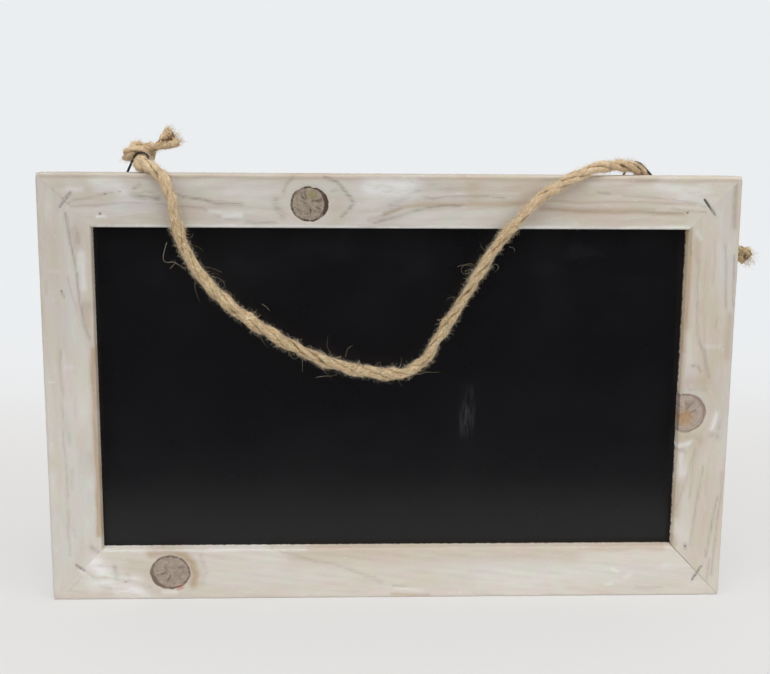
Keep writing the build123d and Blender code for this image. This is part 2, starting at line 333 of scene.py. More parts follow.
# Grain lines, stains, chalky patches and one painted highlight, as drawn on each face: points (x, z), half
# width, strength
marks = {
    "top_rail": {
        "dark": [
            ([(-190.6, 243.4), (-189.2, 241.6)], 0.5, 0.6),
            ([(14.0, 248.0), (33.0, 244.5)], 2.6, 0.24),
            ([(2.0, 236.0), (20.0, 240.0)], 3.4, 0.17),
            ([(-118.0, 241.0), (-109.0, 238.0)], 2.6, 0.26),
            ([(-187.6, 240.8), (-184.4, 237.6)], 0.7, 0.4),
            ([(-182.2, 235), (-178.2, 237), (-170.2, 238.5), (-163.2, 240), (-157.2, 241)], 0.6, 0.45),
            ([(-181.7, 233.5), (-168.2, 234), (-150.2, 235.3), (-130.3, 235), (-113.3, 233.5),
              (-108.3, 232.5)], 0.5, 0.35),
            ([(-146.2, 240), (-140.2, 238.5), (-132.3, 238)], 1.1, 0.8),
            ([(-146.2, 240), (-140.2, 241.3), (-134.2, 241)], 0.5, 0.45),
            ([(-145.2, 243.5), (-142.2, 245.8)], 0.8, 0.8),
            ([(-121.3, 240.5), (-117.3, 239.2), (-112.3, 238.5), (-105.3, 237.5), (-100.3, 236),
              (-93.3, 235.5), (-85.3, 235)], 0.9, 0.75),
            ([(-108.3, 233.5), (-103.3, 231), (-98.3, 228.5), (-93.3, 226.5), (-88.3, 226)], 0.8, 0.35),
            ([(-83.3, 225), (-75.3, 224.3), (-66.4, 224)], 0.9, 0.55),
            ([(-62.4, 241.5), (-60.4, 247), (-56.4, 250.5)], 0.8, 0.62),
            ([(-38.4, 250.3), (-31.4, 248), (-27.4, 243.5), (-24.4, 239.5), (-22.4, 236), (-23.9, 233),
              (-28.4, 228.5)], 0.8, 0.85),
            ([(-66.4, 237.5), (-65.9, 232.5), (-62.4, 228.5)], 1.5, 0.55),
            ([(-34.4, 242.5), (-31.9, 243.5)], 0.7, 0.5),
            ([(-13.4, 226.8), (-8.4, 228), (-4.5, 230), (-0.5, 231.5), (3.5, 233.5)], 0.9, 0.55),
            ([(-10.4, 225.5), (-4.5, 227), (1.5, 228.5), (7.5, 230.5), (13.5, 232.5), (19.5, 234),
              (29.5, 234.8), (39.5, 235.3)], 0.7, 0.75),
            ([(17.5, 239.5), (22.5, 238.8), (29.5, 239.8), (37.5, 240.4), (49.5, 240.4), (57.4, 240.1),
              (63.4, 239.8)], 0.5, 0.55),
            ([(9.5, 249.5), (12.5, 246.5), (14.5, 243.5), (9.5, 240.5), (-1.5, 234.5)], 1.2, 0.55),
            ([(84.4, 233.4), (94.4, 232.8), (109.4, 232.4), (127.3, 231.7), (139.3, 231.9), (157.3, 231.2),
              (164.3, 230.9)], 0.6, 0.35),
            ([(131.3, 240.9), (149.3, 240.1), (159.3, 239.4), (167.3, 237.9), (175.3, 236.4),
              (179.3, 234.7)], 0.6, 0.4),
            ([(159.3, 233.9), (171.3, 232.6), (179.3, 232)], 0.5, 0.45),
            ([(116.4, 242.9), (123.3, 241.9)], 0.7, 0.5),
            ([(135.3, 250), (151.3, 250)], 0.9, 0.5),
        ],
        "warm": [
            ([(44.5, 235.7), (59.4, 235.9), (74.4, 235.7), (94.4, 233.2), (117.4, 232.6),
              (149.3, 232.8)], 1.5, 0.65),
            ([(-4.5, 230), (-0.5, 231.5), (7.5, 234.5), (19.5, 235.5), (44.5, 235.7)], 0.9, 0.6),
            ([(84.4, 233.4), (109.4, 232.4), (127.3, 231.7), (157.3, 231.2), (166.3, 230.9)], 1.1, 0.7),
            ([(80.4, 238.4), (104.4, 237.4), (149.3, 237.4), (172.3, 236.4)], 0.8, 0.5),
            ([(104.4, 237.4), (124.3, 236.4), (149.3, 236.4)], 4.0, 0.25),
            ([(45.5, 245.4), (46.5, 242.4)], 4.0, 0.35),
            ([(-60.4, 251.1), (-20.4, 250.9), (14.5, 250.4)], 1.2, 0.35),
            ([(-190.1, 251), (-130.3, 251)], 1.4, 0.3),
            ([(-197.0, 250.3), (-60.0, 250.2), (90.0, 249.9), (197.0, 249.7)], 0.8, 0.5),
            ([(84.4, 244.4), (96.4, 239.4)], 4.0, 0.22),
            ([(-31.4, 230.5), (-30.4, 236.5)], 3.5, 0.25),
        ],
        "white": [
            ([(-166.2, 246.5), (-155.2, 245.5), (-151.2, 241.5)], 3.5, 0.75),
            # Painted highlight: pale line along the top rail's lower sight edge, where light from the table
            # falls
            ([(-166.0, 222.6), (170.0, 222.6)], 0.7, 0.95),
            ([(-166.7, 228.1), (-162.2, 228.1)], 0.6, 0.9),
            ([(-188.6, 230.8), (-184.8, 229.8)], 0.9, 0.9),
            ([(-181.6, 244.6), (-175.2, 243.2)], 2.4, 0.6),
            ([(-103.3, 231), (-97.3, 230.5)], 1.2, 0.6),
            ([(-95.3, 228.5), (-86.3, 228.8)], 1.5, 0.8),
            ([(-12.4, 244.5), (2.5, 244.5), (9.5, 245)], 4.5, 1.0),
            ([(-90.3, 240.5), (-72.3, 241.5)], 4.0, 0.3),
            ([(152.3, 246.4), (163.3, 245.4)], 2.6, 0.6),
            ([(165.3, 243.4), (176.3, 244.4)], 4.0, 0.55),
            ([(182.3, 226.7), (187.3, 226)], 0.7, 0.8),
            ([(7.5, 227.5), (44.5, 230.5), (59.4, 230.4)], 3.0, 0.25),
        ],
    },
    "bottom_rail": {
        "dark": [
            ([(-163.8, 21.4), (-161.8, 13.4)], 1.0, 0.55),
            ([(-172.3, 21.5), (-168.3, 13.4), (-165.8, 7.4)], 0.7, 0.35),
            ([(-168.3, 10.4), (-166.3, 8.4)], 0.7, 0.55),
            ([(-155.8, 16.4), (-154.3, 11.4)], 0.7, 0.5),
            ([(-145.4, 7.6), (-142.4, 7.6)], 0.7, 0.55),
            ([(-148.4, 4.6), (-145.4, 4.8)], 0.6, 0.45),
            ([(-190.3, 6.4), (-186.3, 10.4), (-183.3, 14.4)], 0.5, 0.3),
            ([(-112.4, 28.4), (-109.4, 17.4), (-112.4, 9.4)], 1.0, 0.28),
            ([(-137.4, 29.6), (-128.4, 30.0), (-121.4, 27.9), (-117.6, 23.4), (-116.2, 16.4),
              (-117.8, 9.8)], 1.1, 0.26),
            ([(-70.4, 31.4), (-55.4, 27.4)], 0.7, 0.45),
            ([(-55.4, 27.4), (-45.4, 23.7), (-30.4, 20.4), (-20.4, 16.4), (-10.4, 12.4),
              (-4.4, 9.4)], 0.9, 0.28),
            ([(-14.4, 12.4), (-8.4, 12.9)], 0.6, 0.35),
            ([(2.6, 6.9), (9.6, 6.6)], 0.5, 0.5),
            ([(149.5, 5.5), (165.5, 5.3)], 0.5, 0.3),
        ],
        "warm": [
            ([(-141.3, 29), (-135.3, 30.5), (-128.4, 30.1), (-121.4, 27.9), (-117.4, 23.4), (-115.7, 16.4),
              (-117.4, 9.4)], 1.9, 0.95),
            ([(-152.3, 19.4), (-145.4, 15.4)], 5.0, 0.35),
            ([(-55.4, 27.4), (-0.4, 26.4), (59.5, 26.9), (109.5, 27.4)], 5.0, 0.35),
            ([(1.6, 2.0), (12.6, 1.5), (23.6, 1.4)], 0.8, 0.55),
            ([(-199.3, 4.4), (-199.3, 27.5)], 2.0, 0.25),
            ([(-60.4, 30.4), (164.0, 30.4)], 1.3, 0.4),
        ],
        "white": [
            ([(-175.3, 23.5), (-168.3, 13.4), (-160.3, 6.4), (-148.4, 4.4)], 4.0, 0.9),
            ([(-168.0, 30.6), (-50.0, 30.6)], 0.7, 0.55),
            *cornerChalk,
            ([(-134.4, 3.6), (-127.4, 3.8)], 1.2, 0.7),
            ([(-152.3, 13.7), (-150.8, 13.7)], 0.7, 0.8),
            ([(165.5, 19.6), (180.5, 19.3)], 1.0, 0.6),
            ([(134.5, 17.3), (137.5, 15.8)], 1.2, 0.6),
            ([(130.5, 7.3), (133.5, 7.8)], 1.0, 0.6),
            ([(142.5, 12.3), (145.5, 13.3)], 1.2, 0.5),
            ([(3.6, 5.4), (19.6, 4.4)], 0.8, 0.5),
            ([(59.5, 13.4), (124.5, 15.3)], 7.0, 0.25),
        ],
    },
    "left_stile": {
        "dark": [
            ([(-183.5, 229.5), (-182.7, 223.5), (-181.7, 214.5), (-180, 205.5), (-178.7, 196.5),
              (-178.2, 188.5), (-177.5, 181.5), (-176.2, 171.5), (-174.7, 163.5),
              (-172.7, 158.5)], 0.7, 0.75),
            ([(-184.2, 193.5), (-182.7, 186.5), (-180.7, 179.5), (-179.2, 173.5)], 0.5, 0.35),
            ([(-179.2, 220.5), (-178.9, 209.5)], 1.6, 0.35),
            ([(-176.5, 176), (-171.2, 176)], 2.0, 0.35),
            ([(-187.9, 185.4), (-187.4, 184.2), (-186.5, 182.2)], 0.5, 0.85),
            ([(-190.2, 151.6), (-189.7, 126.5), (-189.3, 111.5), (-190.3, 101.5), (-188.8, 71.5),
              (-189.3, 56.5), (-189, 27.5)], 0.7, 0.35),
            ([(-187.3, 116.5), (-187.3, 96.5)], 1.4, 0.22),
            ([(-186.3, 79.5), (-186.3, 69.5)], 1.0, 0.25),
            ([(-187.8, 45.5), (-185.3, 42.5), (-184.9, 39.5)], 0.5, 0.3),
            ([(-176.3, 32.5), (-173.3, 29.5)], 1.2, 0.6),
            ([(-196.7, 191.6), (-196.2, 183.6)], 0.6, 0.25),
        ],
        "warm": [
            ([(-171, 151.5), (-171.5, 131.5), (-171.5, 101.5), (-171.1, 40.5)], 1.2, 1.0),
            ([(-177.4, 218.5), (-177, 213.5)], 0.8, 0.5),
            ([(-174.3, 89.5), (-173.3, 79.5)], 1.6, 0.3),
            ([(-175.2, 177.5), (-173.7, 166.5)], 2.0, 0.35),
            ([(-191.2, 216.5), (-190.2, 151.6)], 5.0, 0.2),
        ],
        "white": [
            ([(-175.3, 23.5), (-168.3, 13.4)], 4.0, 0.6),
            *cornerChalk,
            ([(-175.7, 206.5), (-174.7, 187.5)], 1.8, 0.65),
            ([(-178.2, 197.5), (-177.4, 201.5)], 0.7, 0.6),
            ([(-194.2, 196.5), (-189.2, 196.5)], 0.8, 0.4),
            ([(-186.7, 141.2), (-182.2, 141.2)], 1.0, 0.4),
            ([(-197.2, 132.9), (-194.2, 132.9)], 0.6, 0.5),
            ([(-185.3, 121.5), (-180.3, 113.5)], 6.0, 0.3),
            ([(-197.3, 76.5), (-195.3, 63.5)], 2.5, 0.35),
        ],
    },
    "right_stile": {
        "dark": [
            ([(172.2, 222.4), (172.1, 207.4)], 0.4, 0.6),
            ([(176.9, 204.4), (177.1, 186.4), (177.3, 173.4), (178.3, 161.4), (180.3, 155.4)], 0.7, 0.42),
            ([(185.8, 215.4), (186.1, 191.4)], 0.5, 0.3),
            ([(191.9, 213.4), (192.7, 199.4), (193.6, 187.4), (193.9, 176.4)], 0.6, 0.55),
            ([(197.3, 207.4), (197.9, 191.4), (198.7, 177.4)], 0.6, 0.6),
            ([(180.3, 155.4), (182.4, 151.4), (184.4, 144.4), (186.4, 135.4)], 0.9, 0.6),
            ([(176.4, 142.4), (179.4, 142.4), (181.4, 138.9)], 0.7, 0.65),
            ([(195.8, 248.4), (196.1, 223.4)], 0.8, 0.5),
            ([(171.4, 127.4), (185.4, 127.4)], 0.6, 0.3),
            ([(170.2, 91.4), (173.4, 90.9), (175.4, 89.4)], 0.8, 0.6),
            ([(174.4, 86.9), (173.9, 83.4)], 0.6, 0.5),
            ([(190.4, 100.4), (193.9, 99.2)], 1.3, 0.5),
            ([(193.9, 109.4), (194.4, 104.4)], 0.8, 0.4),
            ([(180.9, 91.4), (177.4, 76.4), (174.4, 66.4), (171.5, 55.4)], 0.6, 0.4),
            ([(183.9, 96.4), (180.9, 85.4), (179.9, 71.4), (178.9, 61.4)], 0.5, 0.3),
            ([(186.4, 81.4), (183.9, 63.4), (182.5, 49.4), (180.5, 31.3)], 0.6, 0.42),
            ([(195.4, 61.4), (193.7, 47.3), (192.7, 37.3), (191.1, 25.3)], 0.8, 0.6),
            ([(198, 77.4), (197, 53.3), (195.9, 35.3), (194.5, 13.3)], 0.7, 0.45),
            ([(193, 23.3), (192, 9.3)], 0.7, 0.4),
            ([(177.9, 32.3), (178.2, 30.3)], 0.8, 0.7),
            ([(189.3, 169.4), (188.8, 164.4)], 0.5, 0.35),
        ],
        "warm": [
            ([(171.1, 221.4), (171.1, 186.4), (170.9, 151.4)], 1.2, 1.0),
            ([(171.0, 150.4), (171.0, 70.4)], 0.8, 0.6),
            ([(196.3, 171.4), (196.7, 147.4)], 1.6, 0.45),
            ([(172.4, 132.4), (182.4, 131.4)], 3.0, 0.4),
            ([(171, 69.4), (171, 51.4)], 1.5, 0.6),
            ([(196.8, 246.4), (197.3, 223.4)], 1.2, 0.45),
            ([(182.4, 97.4), (172.4, 98.4)], 2.4, 0.4),
            ([(175.3, 215.4), (175.3, 206.4)], 2.0, 0.25),
            ([(170, 37.3), (171.5, 32.3)], 1.2, 0.5),
        ],
        "white": [
            ([(192.2, 113.9), (191.4, 108.4), (190, 104.4)], 1.3, 1.0),
            ([(170.4, 93.4), (175.4, 94.4), (179.4, 96.4)], 1.2, 0.9),
            ([(173.4, 87.4), (173.9, 77.4)], 2.6, 0.6),
            ([(183.3, 153.7), (191.3, 153.4)], 0.8, 0.4),
            ([(175.3, 220.4), (177.8, 216.4)], 1.1, 0.6),
            ([(172.9, 161.4), (173.4, 146.4)], 1.6, 0.35),
            ([(190.3, 211.4), (188.8, 186.4)], 3.0, 0.2),
            ([(174.5, 41.3), (177.5, 37.3)], 3.0, 0.3),
        ],
    },
}
# Wavering of the lines by (millimetres, length), and how soft their edges are
markForm = {"waver": ((0.30, 34.0), (0.07, 6.0)), "soft": 1.4}
# Pits and small nail holes: x, z, radius
pits = {
    "top_rail": [(-164.6, 229.4, 0.75), (168.8, 231.4, 0.7), (-161.4, 240.5, 0.6), (-153.6, 241.8, 0.6)],
    "bottom_rail": [(-156.8, 10.9, 0.6)],
    "left_stile": [(-187.8, 185.2, 0.6)],
    "right_stile": [(178, 31.3, 0.6)],
}
pitForm = {"depth": 0.5, "dirt_share": 0.8}
# Gap at each mitre, at its inner and its outer end
gaps = {"top_left": (0.03, 0.02), "top_right": (0.04, 0.02),
        "bottom_left": (0.05, 0.03), "bottom_right": (0.32, 0.08)}
# How bright, warm and even the wood is at a member's left or lower end, its middle, and its other end; the
# brightness is partly painted light, higher low down where light comes up from the floor
tones = {
    "top_rail": ((0.97, 0.30, 0.0), (0.96, 0.30, 0.0), (1.06, 0.85, 0.0)),
    "bottom_rail": ((1.14, 0.40, 0.1), (1.20, 0.45, 0.6), (1.18, 0.50, 0.4)),
    "left_stile": ((1.12, 0.45, 0.0), (1.05, 0.38, 0.0), (0.95, 0.40, 0.0)),
    "right_stile": ((1.12, 0.85, 0.4), (1.00, 1.0, 0.0), (0.99, 1.3, 0.0)),
}
# Recess sides: how much brighter (painted light) and warmer than the face, and how far up them the black
# paint has run, in mm
insides = {
    "top_rail": (0.0, 0.0, 0.0), "bottom_rail": (0.32, 0.5, 0.8),
    "left_stile": (0.18, 0.3, 0.9), "right_stile": (0.46, 0.6, 2.0),
}
paintRun = {"ragged": 0.5, "lengths": (14.0, 5.0, 2.2), "fade": 0.5, "strength": 1.1}
# Painted light: a small brightness lift on the top rail's upward face
topEdge = (0.02, 0.7, 0.0)  # the top rail's upper edge against its face, in brightness, warmth and evenness
# Along the mitres the wood is evened out, but not at the open one
seam = {"even": 0.75, "reach": 7.0, "without": "bottom_right"}


def arc(center, radius, start, end, steps):
    # Points of center + radius * (cos, sin) from one angle to another
    angles = np.radians(np.linspace(start, end, steps))
    return [(center[0] + radius * np.cos(a), center[1] + radius * np.sin(a)) for a in angles]


def line(start, end, spacing):
    # Points between two ends, without them: start + share * (end - start)
    count = max(1, int(np.ceil(np.hypot(end[0] - start[0], end[1] - start[1]) / spacing)))
    run = (end[0] - start[0], end[1] - start[1])
    return [(start[0] + run[0] * i / count, start[1] + run[1] * i / count) for i in range(1, count)]


def memberOutline(face):
    # Closed section (t, y): front arris, front, sight arris, lip, rebate, back, back arris, outer edge
    deep, lip = board["depth"] / 2, board["lip"] - board["depth"] / 2
    r, rs, wall = board["arris"], board["sight_arris"], face - board["rebate"]
    points = arc((r, r - deep), r, 180, 270, 7)
    points += line((r, -deep), (face - rs, -deep), board["fine"])
    points += arc((face - rs, rs - deep), rs, 270, 360, 5)
    points += line((face, rs - deep), (face, lip), board["lip_step"]) + [(face, lip)]
    points += line((face, lip), (wall, lip), board["rebate_step"]) + [(wall, lip)]
    points += line((wall, lip), (wall, deep), board["rebate_step"]) + [(wall, deep)]
    points += line((wall, deep), (r, deep), board["back_step"]) + arc((r, deep - r), r, 90, 180, 5)
    points += line((0, deep - r), (0, r - deep), board["side_step"])
    return np.array(points)


def distanceTo(points, x, z):
    # Least distance from each place to a line of straight runs
    best = np.full(len(x), np.inf)
    for (x0, z0), (x1, z1) in zip(points, points[1:]):
        run = np.array([x1 - x0, z1 - z0])
        share = np.clip(((x - x0) * run[0] + (z - z0) * run[1]) / (run @ run), 0, 1)
        best = np.minimum(best, np.hypot(x - x0 - share * run[0], z - z0 - share * run[1]))
    return best


def onBoard(member, s, t):
    # x and z of a place on a member: middle + s * along + t * inward
    return [member["middle"][k] + s * member["along"][k] + t * member["inward"][k] for k in (0, 1)]


def memberColumns(member, face):
    # Places along the member at its outer edge, and how far each column leans towards the mitre
    half, reach = member["length"] / 2, board["fine_reach"]
    side = np.arange(0, reach, board["fine"])
    middle = np.linspace(reach - half, half - reach, int((2 * half - 2 * reach) / board["coarse"]) + 1)
    places = np.concatenate([side - half, middle, half - side[::-1]])
    fromEnd = half - np.abs(places)
    lower, upper = (faceWidths[name] for name in member["meets"])
    lean = 1 - np.clip((fromEnd - board["lean_from"]) / board["lean_reach"], 0, 1)
    lean = lean * np.where(places < 0, lower, upper) / face
    lower, upper = (gaps[end] for end in member["ends"])
    gap = np.where(places[:, None] < 0, lower, upper) / 2 ** 0.5
    close = np.clip(1 - fromEnd / board["gap_reach"], 0, 1)
    places = places - np.sign(places) * close * gap[:, 1]
    return places, lean + close * (gap[:, 0] - gap[:, 1]) / face


def memberGrid(member, face):
    # Section carried along the member, drawn in at the ends by corner - sqrt(corner^2 - past^2)
    half, corner = member["length"] / 2, board["corner"]
    outline = memberOutline(face)
    places, lean = memberColumns(member, face)
    least = np.zeros(len(places))
    for _ in range(12):
        past = np.clip(np.abs(places) - lean * least - (half - corner), 0, corner)
        least = corner - np.sqrt(corner ** 2 - past ** 2)
    t = least[:, None] + outline[None, :, 0] * (1 - least[:, None] / face)
    s = places[:, None] - np.sign(places)[:, None] * lean[:, None] * t
    y = np.broadcast_to(outline[None, :, 1], t.shape)
    return s.ravel(), t.ravel(), y.ravel(), t.shape


def stapleAxes(staple, x, z):
    # How far each place is along a staple's crown and across it
    angle = np.radians(staple["angle"])
    dx, dz = x - staple["place"][0], z - staple["place"][1]
    return dx * np.cos(angle) + dz * np.sin(angle), dz * np.cos(angle) - dx * np.sin(angle)


def stapleGroove(staple, x, z):
    # Trench over a staple: shallow where wash covers the crown, deeper and patchy where it shows
    along, across = stapleAxes(staple, x, z)
    inside = np.clip((stapleBed["half_length"] - np.abs(along)) / stapleBed["end"], 0, 1)
    inside = inside * np.clip((stapleBed["half_width"] - np.abs(across)) / stapleBed["side"], 0, 1)
    shown = np.clip((along - staple["bare"][0]) / stapleBed["bare_end"], 0, 1)
    shown = shown * np.clip((staple["bare"][1] - along) / stapleBed["bare_end"], 0, 1)
    places = np.stack([along / stapleBed["patch_along"], across / stapleBed["patch_across"]], -1)
    patchy = stapleBed["patchy"] * wander(places, 1.0, int(abs(staple["angle"])))
    deeper = stapleBed["shown"] + stapleBed["worn"] * staple["wear"] + patchy
    return inside * (stapleBed["covered"] + shown * deeper)


def faceHollows(name, x, z):
    # Depth of the staples' trenches and of the pits, each pit depth * exp(-(distance / radius)^3)
    depth = sum(stapleGroove(staple, x, z) for staple in staples.values())
    for pitX, pitZ, radius in pits[name]:
        away = np.hypot(x - pitX, z - pitZ)
        depth = depth + pitForm["depth"] * np.exp(-(away / radius) ** 3)
    return depth


def faceDirt(name, x, z):
    # Dirt in the pits and along the staples' crowns, the strongest at each place
    dirt = np.zeros(len(x))
    for pitX, pitZ, radius in pits[name]:
        away = np.hypot(x - pitX, z - pitZ)
        dirt = np.maximum(dirt, np.exp(-(away / (pitForm["dirt_share"] * radius)) ** 2))
    for staple in staples.values():
        along, across = stapleAxes(staple, x, z)
        inside = (np.abs(along) < stapleBed["dirt_half_length"]) * stapleBed["dirt"] * staple["wear"]
        dirt = np.maximum(dirt, inside * np.exp(-(across / stapleBed["dirt_width"]) ** 2))
    return dirt


def strayPaint(name, s, y, within, seed):
    # Black paint run up the recess side from the panel, with a ragged edge
    reach = insides[name][2]
    ragged = wander(np.stack([s / length for length in paintRun["lengths"]], -1), 1.0, seed)
    ragged = reach * (1 + paintRun["ragged"] * ragged)
    lip = board["lip"] - board["depth"] / 2
    shade = np.clip((y - lip + ragged) / paintRun["fade"], 0, 1)
    return (reach > 0) * paintRun["strength"] * within * shade


def aroundKnot(knot, member, x, z):
    # Place in the knot's radii, rho from its middle, and its push on the grain: 1 / rho^2, fading outside
    dx, dz = x - knot["place"][0], z - knot["place"][1]
    place = np.stack([dx / knot["radii"][0], dz / knot["radii"][1], np.full(len(x), knot["seed"])], -1)
    rho = np.hypot(place[:, 0], place[:, 1])
    push = np.minimum(1, 1 / np.maximum(rho, 0.05) ** 2)
    push = push * np.exp(-np.clip(rho - 1, 0, None) / knotRim["push_fade"])
    return place, rho, push * (dx * member["inward"][0] + dz * member["inward"][1])


def markStrengths(name, x, z):
    # Each kind of mark: the strongest bell curve of the distance to its strokes, whose lines waver a little
    places = np.stack([x, z], -1)
    waver = [sum(height * wander(places, length, seed + index)
                 for index, (height, length) in enumerate(markForm["waver"])) for seed in (51, 61)]
    strengths = []
    for kind in ("dark", "warm", "white"):
        total = np.zeros(len(x))
        for points, width, value in marks[name][kind]:
            away = distanceTo(points, x + waver[0], z + waver[1])
            total = np.maximum(total, value * np.exp(-(away / (markForm["soft"] * width)) ** 2))
        strengths.append(total)
    return np.stack(strengths, -1)


def woodTone(name, member, s, t, within):
    # Bright, warm and even: changing along the member, on the recess side, on the top edge and by the mitres;
    # the brightness is partly painted light
    half = member["length"] / 2
    tone = np.stack([np.interp(s, (-half, 0, half), values) for values in zip(*tones[name])], -1)
    # Painted light: the recess sides made brighter than the face
    tone = tone + within[:, None] * np.array((*insides[name][:2], 0.0))
    # Painted light on the top rail's upward face, with its warmth
    if name == "top_rail":
        tone = tone + (t < relief["outer_skin"])[:, None] * np.array(topEdge)
    lower, upper = (faceWidths[other] / faceWidths[name] for other in member["meets"])
    fromMitre = half - np.abs(s) - np.where(s < 0, lower, upper) * t
    lower, upper = (seam["even"] * (end != seam["without"]) for end in member["ends"])
    evened = np.where(s < 0, lower, upper) * np.exp(-(fromMitre / seam["reach"]) ** 2)
    return tone + evened[:, None] * np.array((0.0, 0.0, 1.0))


def addMember(name, member, material):
    # Grid of the member, sunk by waves, wear, staple grooves and pits, with the fields that its wood reads
    face, half = faceWidths[name], board["depth"] / 2
    seed = int(member["grain"] * 10)
    s, t, y, (rows, columns) = memberGrid(member, face)
    x, z = onBoard(member, s, t)
    front = y < board["arris"] - half
    uneven = wander(np.stack([s / relief["wave_along"], t / relief["wave_across"]], -1), 1.0, seed)
    edge = np.exp(-(t / relief["arris_reach"]) ** 2)
    edge = edge + np.exp(-((face - t) / relief["sight_reach"]) ** 2) * (y < board["lip"] - half - 0.5)
    worn = np.abs(wander(np.stack([s / relief["worn_along"], t / relief["worn_across"]], -1), 1.0, seed + 3))
    worn = worn * edge * relief["worn"]
    uneven = np.clip(relief["wave"] * (uneven + 1), 0, 1)
    sink = np.where(front, uneven + worn + faceHollows(name, x, z), 0)
    t = t + (~front & (t < 1)) * worn * relief["outer_side"]
    x, z = onBoard(member, s, t)
    knot = knots.get(name, noKnot)
    knotPlace, rho, pushed = aroundKnot(knot, member, x, z)
    y = y + sink + front * knotRim["groove"] * np.exp(-((rho - 1) / knotRim["groove_width"]) ** 2)
    within = (t > face - relief["sight_skin"]) & (y > board["sight_arris"] - half)
    within = within & (y < board["lip"] - half + 0.1)
    along, across = relief["grain_shift"]
    fields = {
        "grain": np.stack([s + along * member["grain"], t - pushed + across * member["grain"], y], -1) * mm,
        "marks": markStrengths(name, x, z),
        "knotPlace": knotPlace,
        "knotLook": np.tile((knot["ring"], knot["dark"], knot["thick"]), (len(x), 1)),
        "knotPatch": np.tile(knot["patch"], (len(x), 1)),
        "knotPatchTone": np.tile(knot["patch_tone"], (len(x), 1)),
        # tone: brightness, partly painted light, then warmth and evenness
        "tone": woodTone(name, member, s, t, within),
        "hole": np.maximum(faceDirt(name, x, z), strayPaint(name, s, y, within, seed + 5)),
        "edge": edge * front + (~front & (t < 1)) * relief["outer_side"],
    }
    # Which way round the grid runs decides which way round its faces go, so that they point outwards
    turned = member["along"][0] * member["inward"][1] < member["along"][1] * member["inward"][0]
    caps = [list(range(columns)), list(range((rows - 1) * columns, rows * columns))[::-1]]
    quads = gridFaces(rows, columns, flip=not turned)
    quads += [cap[::-1] for cap in caps] if turned else caps
    thing = addMesh(name + "_wood", np.stack([x, y, z], -1) * mm, quads, material, fields)
    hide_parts(name)
    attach(thing, "root")


# Whitewashed pine: growth lines, fibres, chalky wash, drawn marks and knots

woodTones = {
    "bare": (0.575, 0.515, 0.445), "washed": (0.625, 0.590, 0.545), "chalk": (0.70, 0.70, 0.69),
    "white": (0.80, 0.79, 0.77), "late": (0.43, 0.365, 0.30), "stain": (0.27, 0.225, 0.185),
    "amber": (0.46, 0.345, 0.235), "cool": (0.60, 0.61, 0.615), "hole": (0.10, 0.09, 0.075),
    "warm": (1.03, 0.965, 0.885), "even": (0.625, 0.58, 0.52),
    "pinkish": (1.0, 0.965, 0.985), "greenish": (0.975, 1.0, 0.955),
}
group, given, result = addGroup(
    "pineFace",
    {"Grain": "Vector", "Marks": "Vector", "Tone": "Vector", "Edge": "Float", "Hole": "Float"},
    {"Color": "Color", "Height": "Float"})
grain = given.outputs["Grain"]
drawn = parts(group, given.outputs["Marks"])
tone = parts(group, given.outputs["Tone"])
warp = drawnNoise(group, grain, (9.0, 55.0, 30.0), 2.0)
patch = drawnNoise(group, grain, (14.0, 60.0, 30.0), 3.0, 0.55, (3.1, 0.0, 0.0))
fibre = drawnNoise(group, grain, (70.0, 2600.0, 500.0), 3.0, 0.6)
dash = drawnNoise(group, grain, (150.0, 1500.0, 300.0), 2.0, 0.5, (1.7, 0.0, 0.0))
washing = drawnNoise(group, grain, (18.0, 75.0, 60.0), 4.0, 0.55, (0.0, 9.0, 0.0))
chalking = drawnNoise(group, grain, (55.0, 190.0, 90.0), 5.0, 0.66, (5.0, 2.0, 0.0))
fleck = drawnNoise(group, grain, (420.0, 1100.0, 700.0), 3.0, 0.6, (2.0, 6.0, 0.0))
hue = drawnNoise(group, grain, (75.0, 130.0, 90.0), 3.0, 0.6, (8.0, 3.0, 0.0))
# Growth lines: the fraction of across * 165 + warp * 3.2, dark late in each
rings = calc(group, "ADD", times(group, parts(group, grain)["Y"], 165.0), times(group, warp, 3.2))
rings = calc(group, "FRACT", rings)
late = times(group, remap(group, rings, 0.45, 0.93), remap(group, rings, 1.0, 0.95))
late = times(group, late, remap(group, patch, 0.45, 0.70))
color = blendColor(group, remap(group, washing, 0.30, 0.60), woodTones["bare"], woodTones["washed"])
color = layer(group, color, woodTones["late"], late, 0.20)
color = layer(group, color, blendColor(group, 1.0, color, woodTones["warm"], "MULTIPLY"), tone["Y"], 0.7)
color = layer(group, color, woodTones["cool"], remap(group, patch, 0.52, 0.36), 0.38)
color = layer(group, color, woodTones["chalk"], remap(group, chalking, 0.52, 0.75), 0.38)
color = layer(group, color, woodTones["even"], tone["Z"], 0.85)
# Drawn marks, each broken up by a noise of its own
warmth = times(group, drawn["Y"], remap(group, fibre, 0.25, 0.65, 0.55, 1.0))
color = layer(group, color, woodTones["amber"], warmth, 1.15)
ragged = times(group, drawn["X"], remap(group, dash, 0.36, 0.62, 0.30, 1.15))
color = layer(group, color, woodTones["stain"], ragged, 0.76)
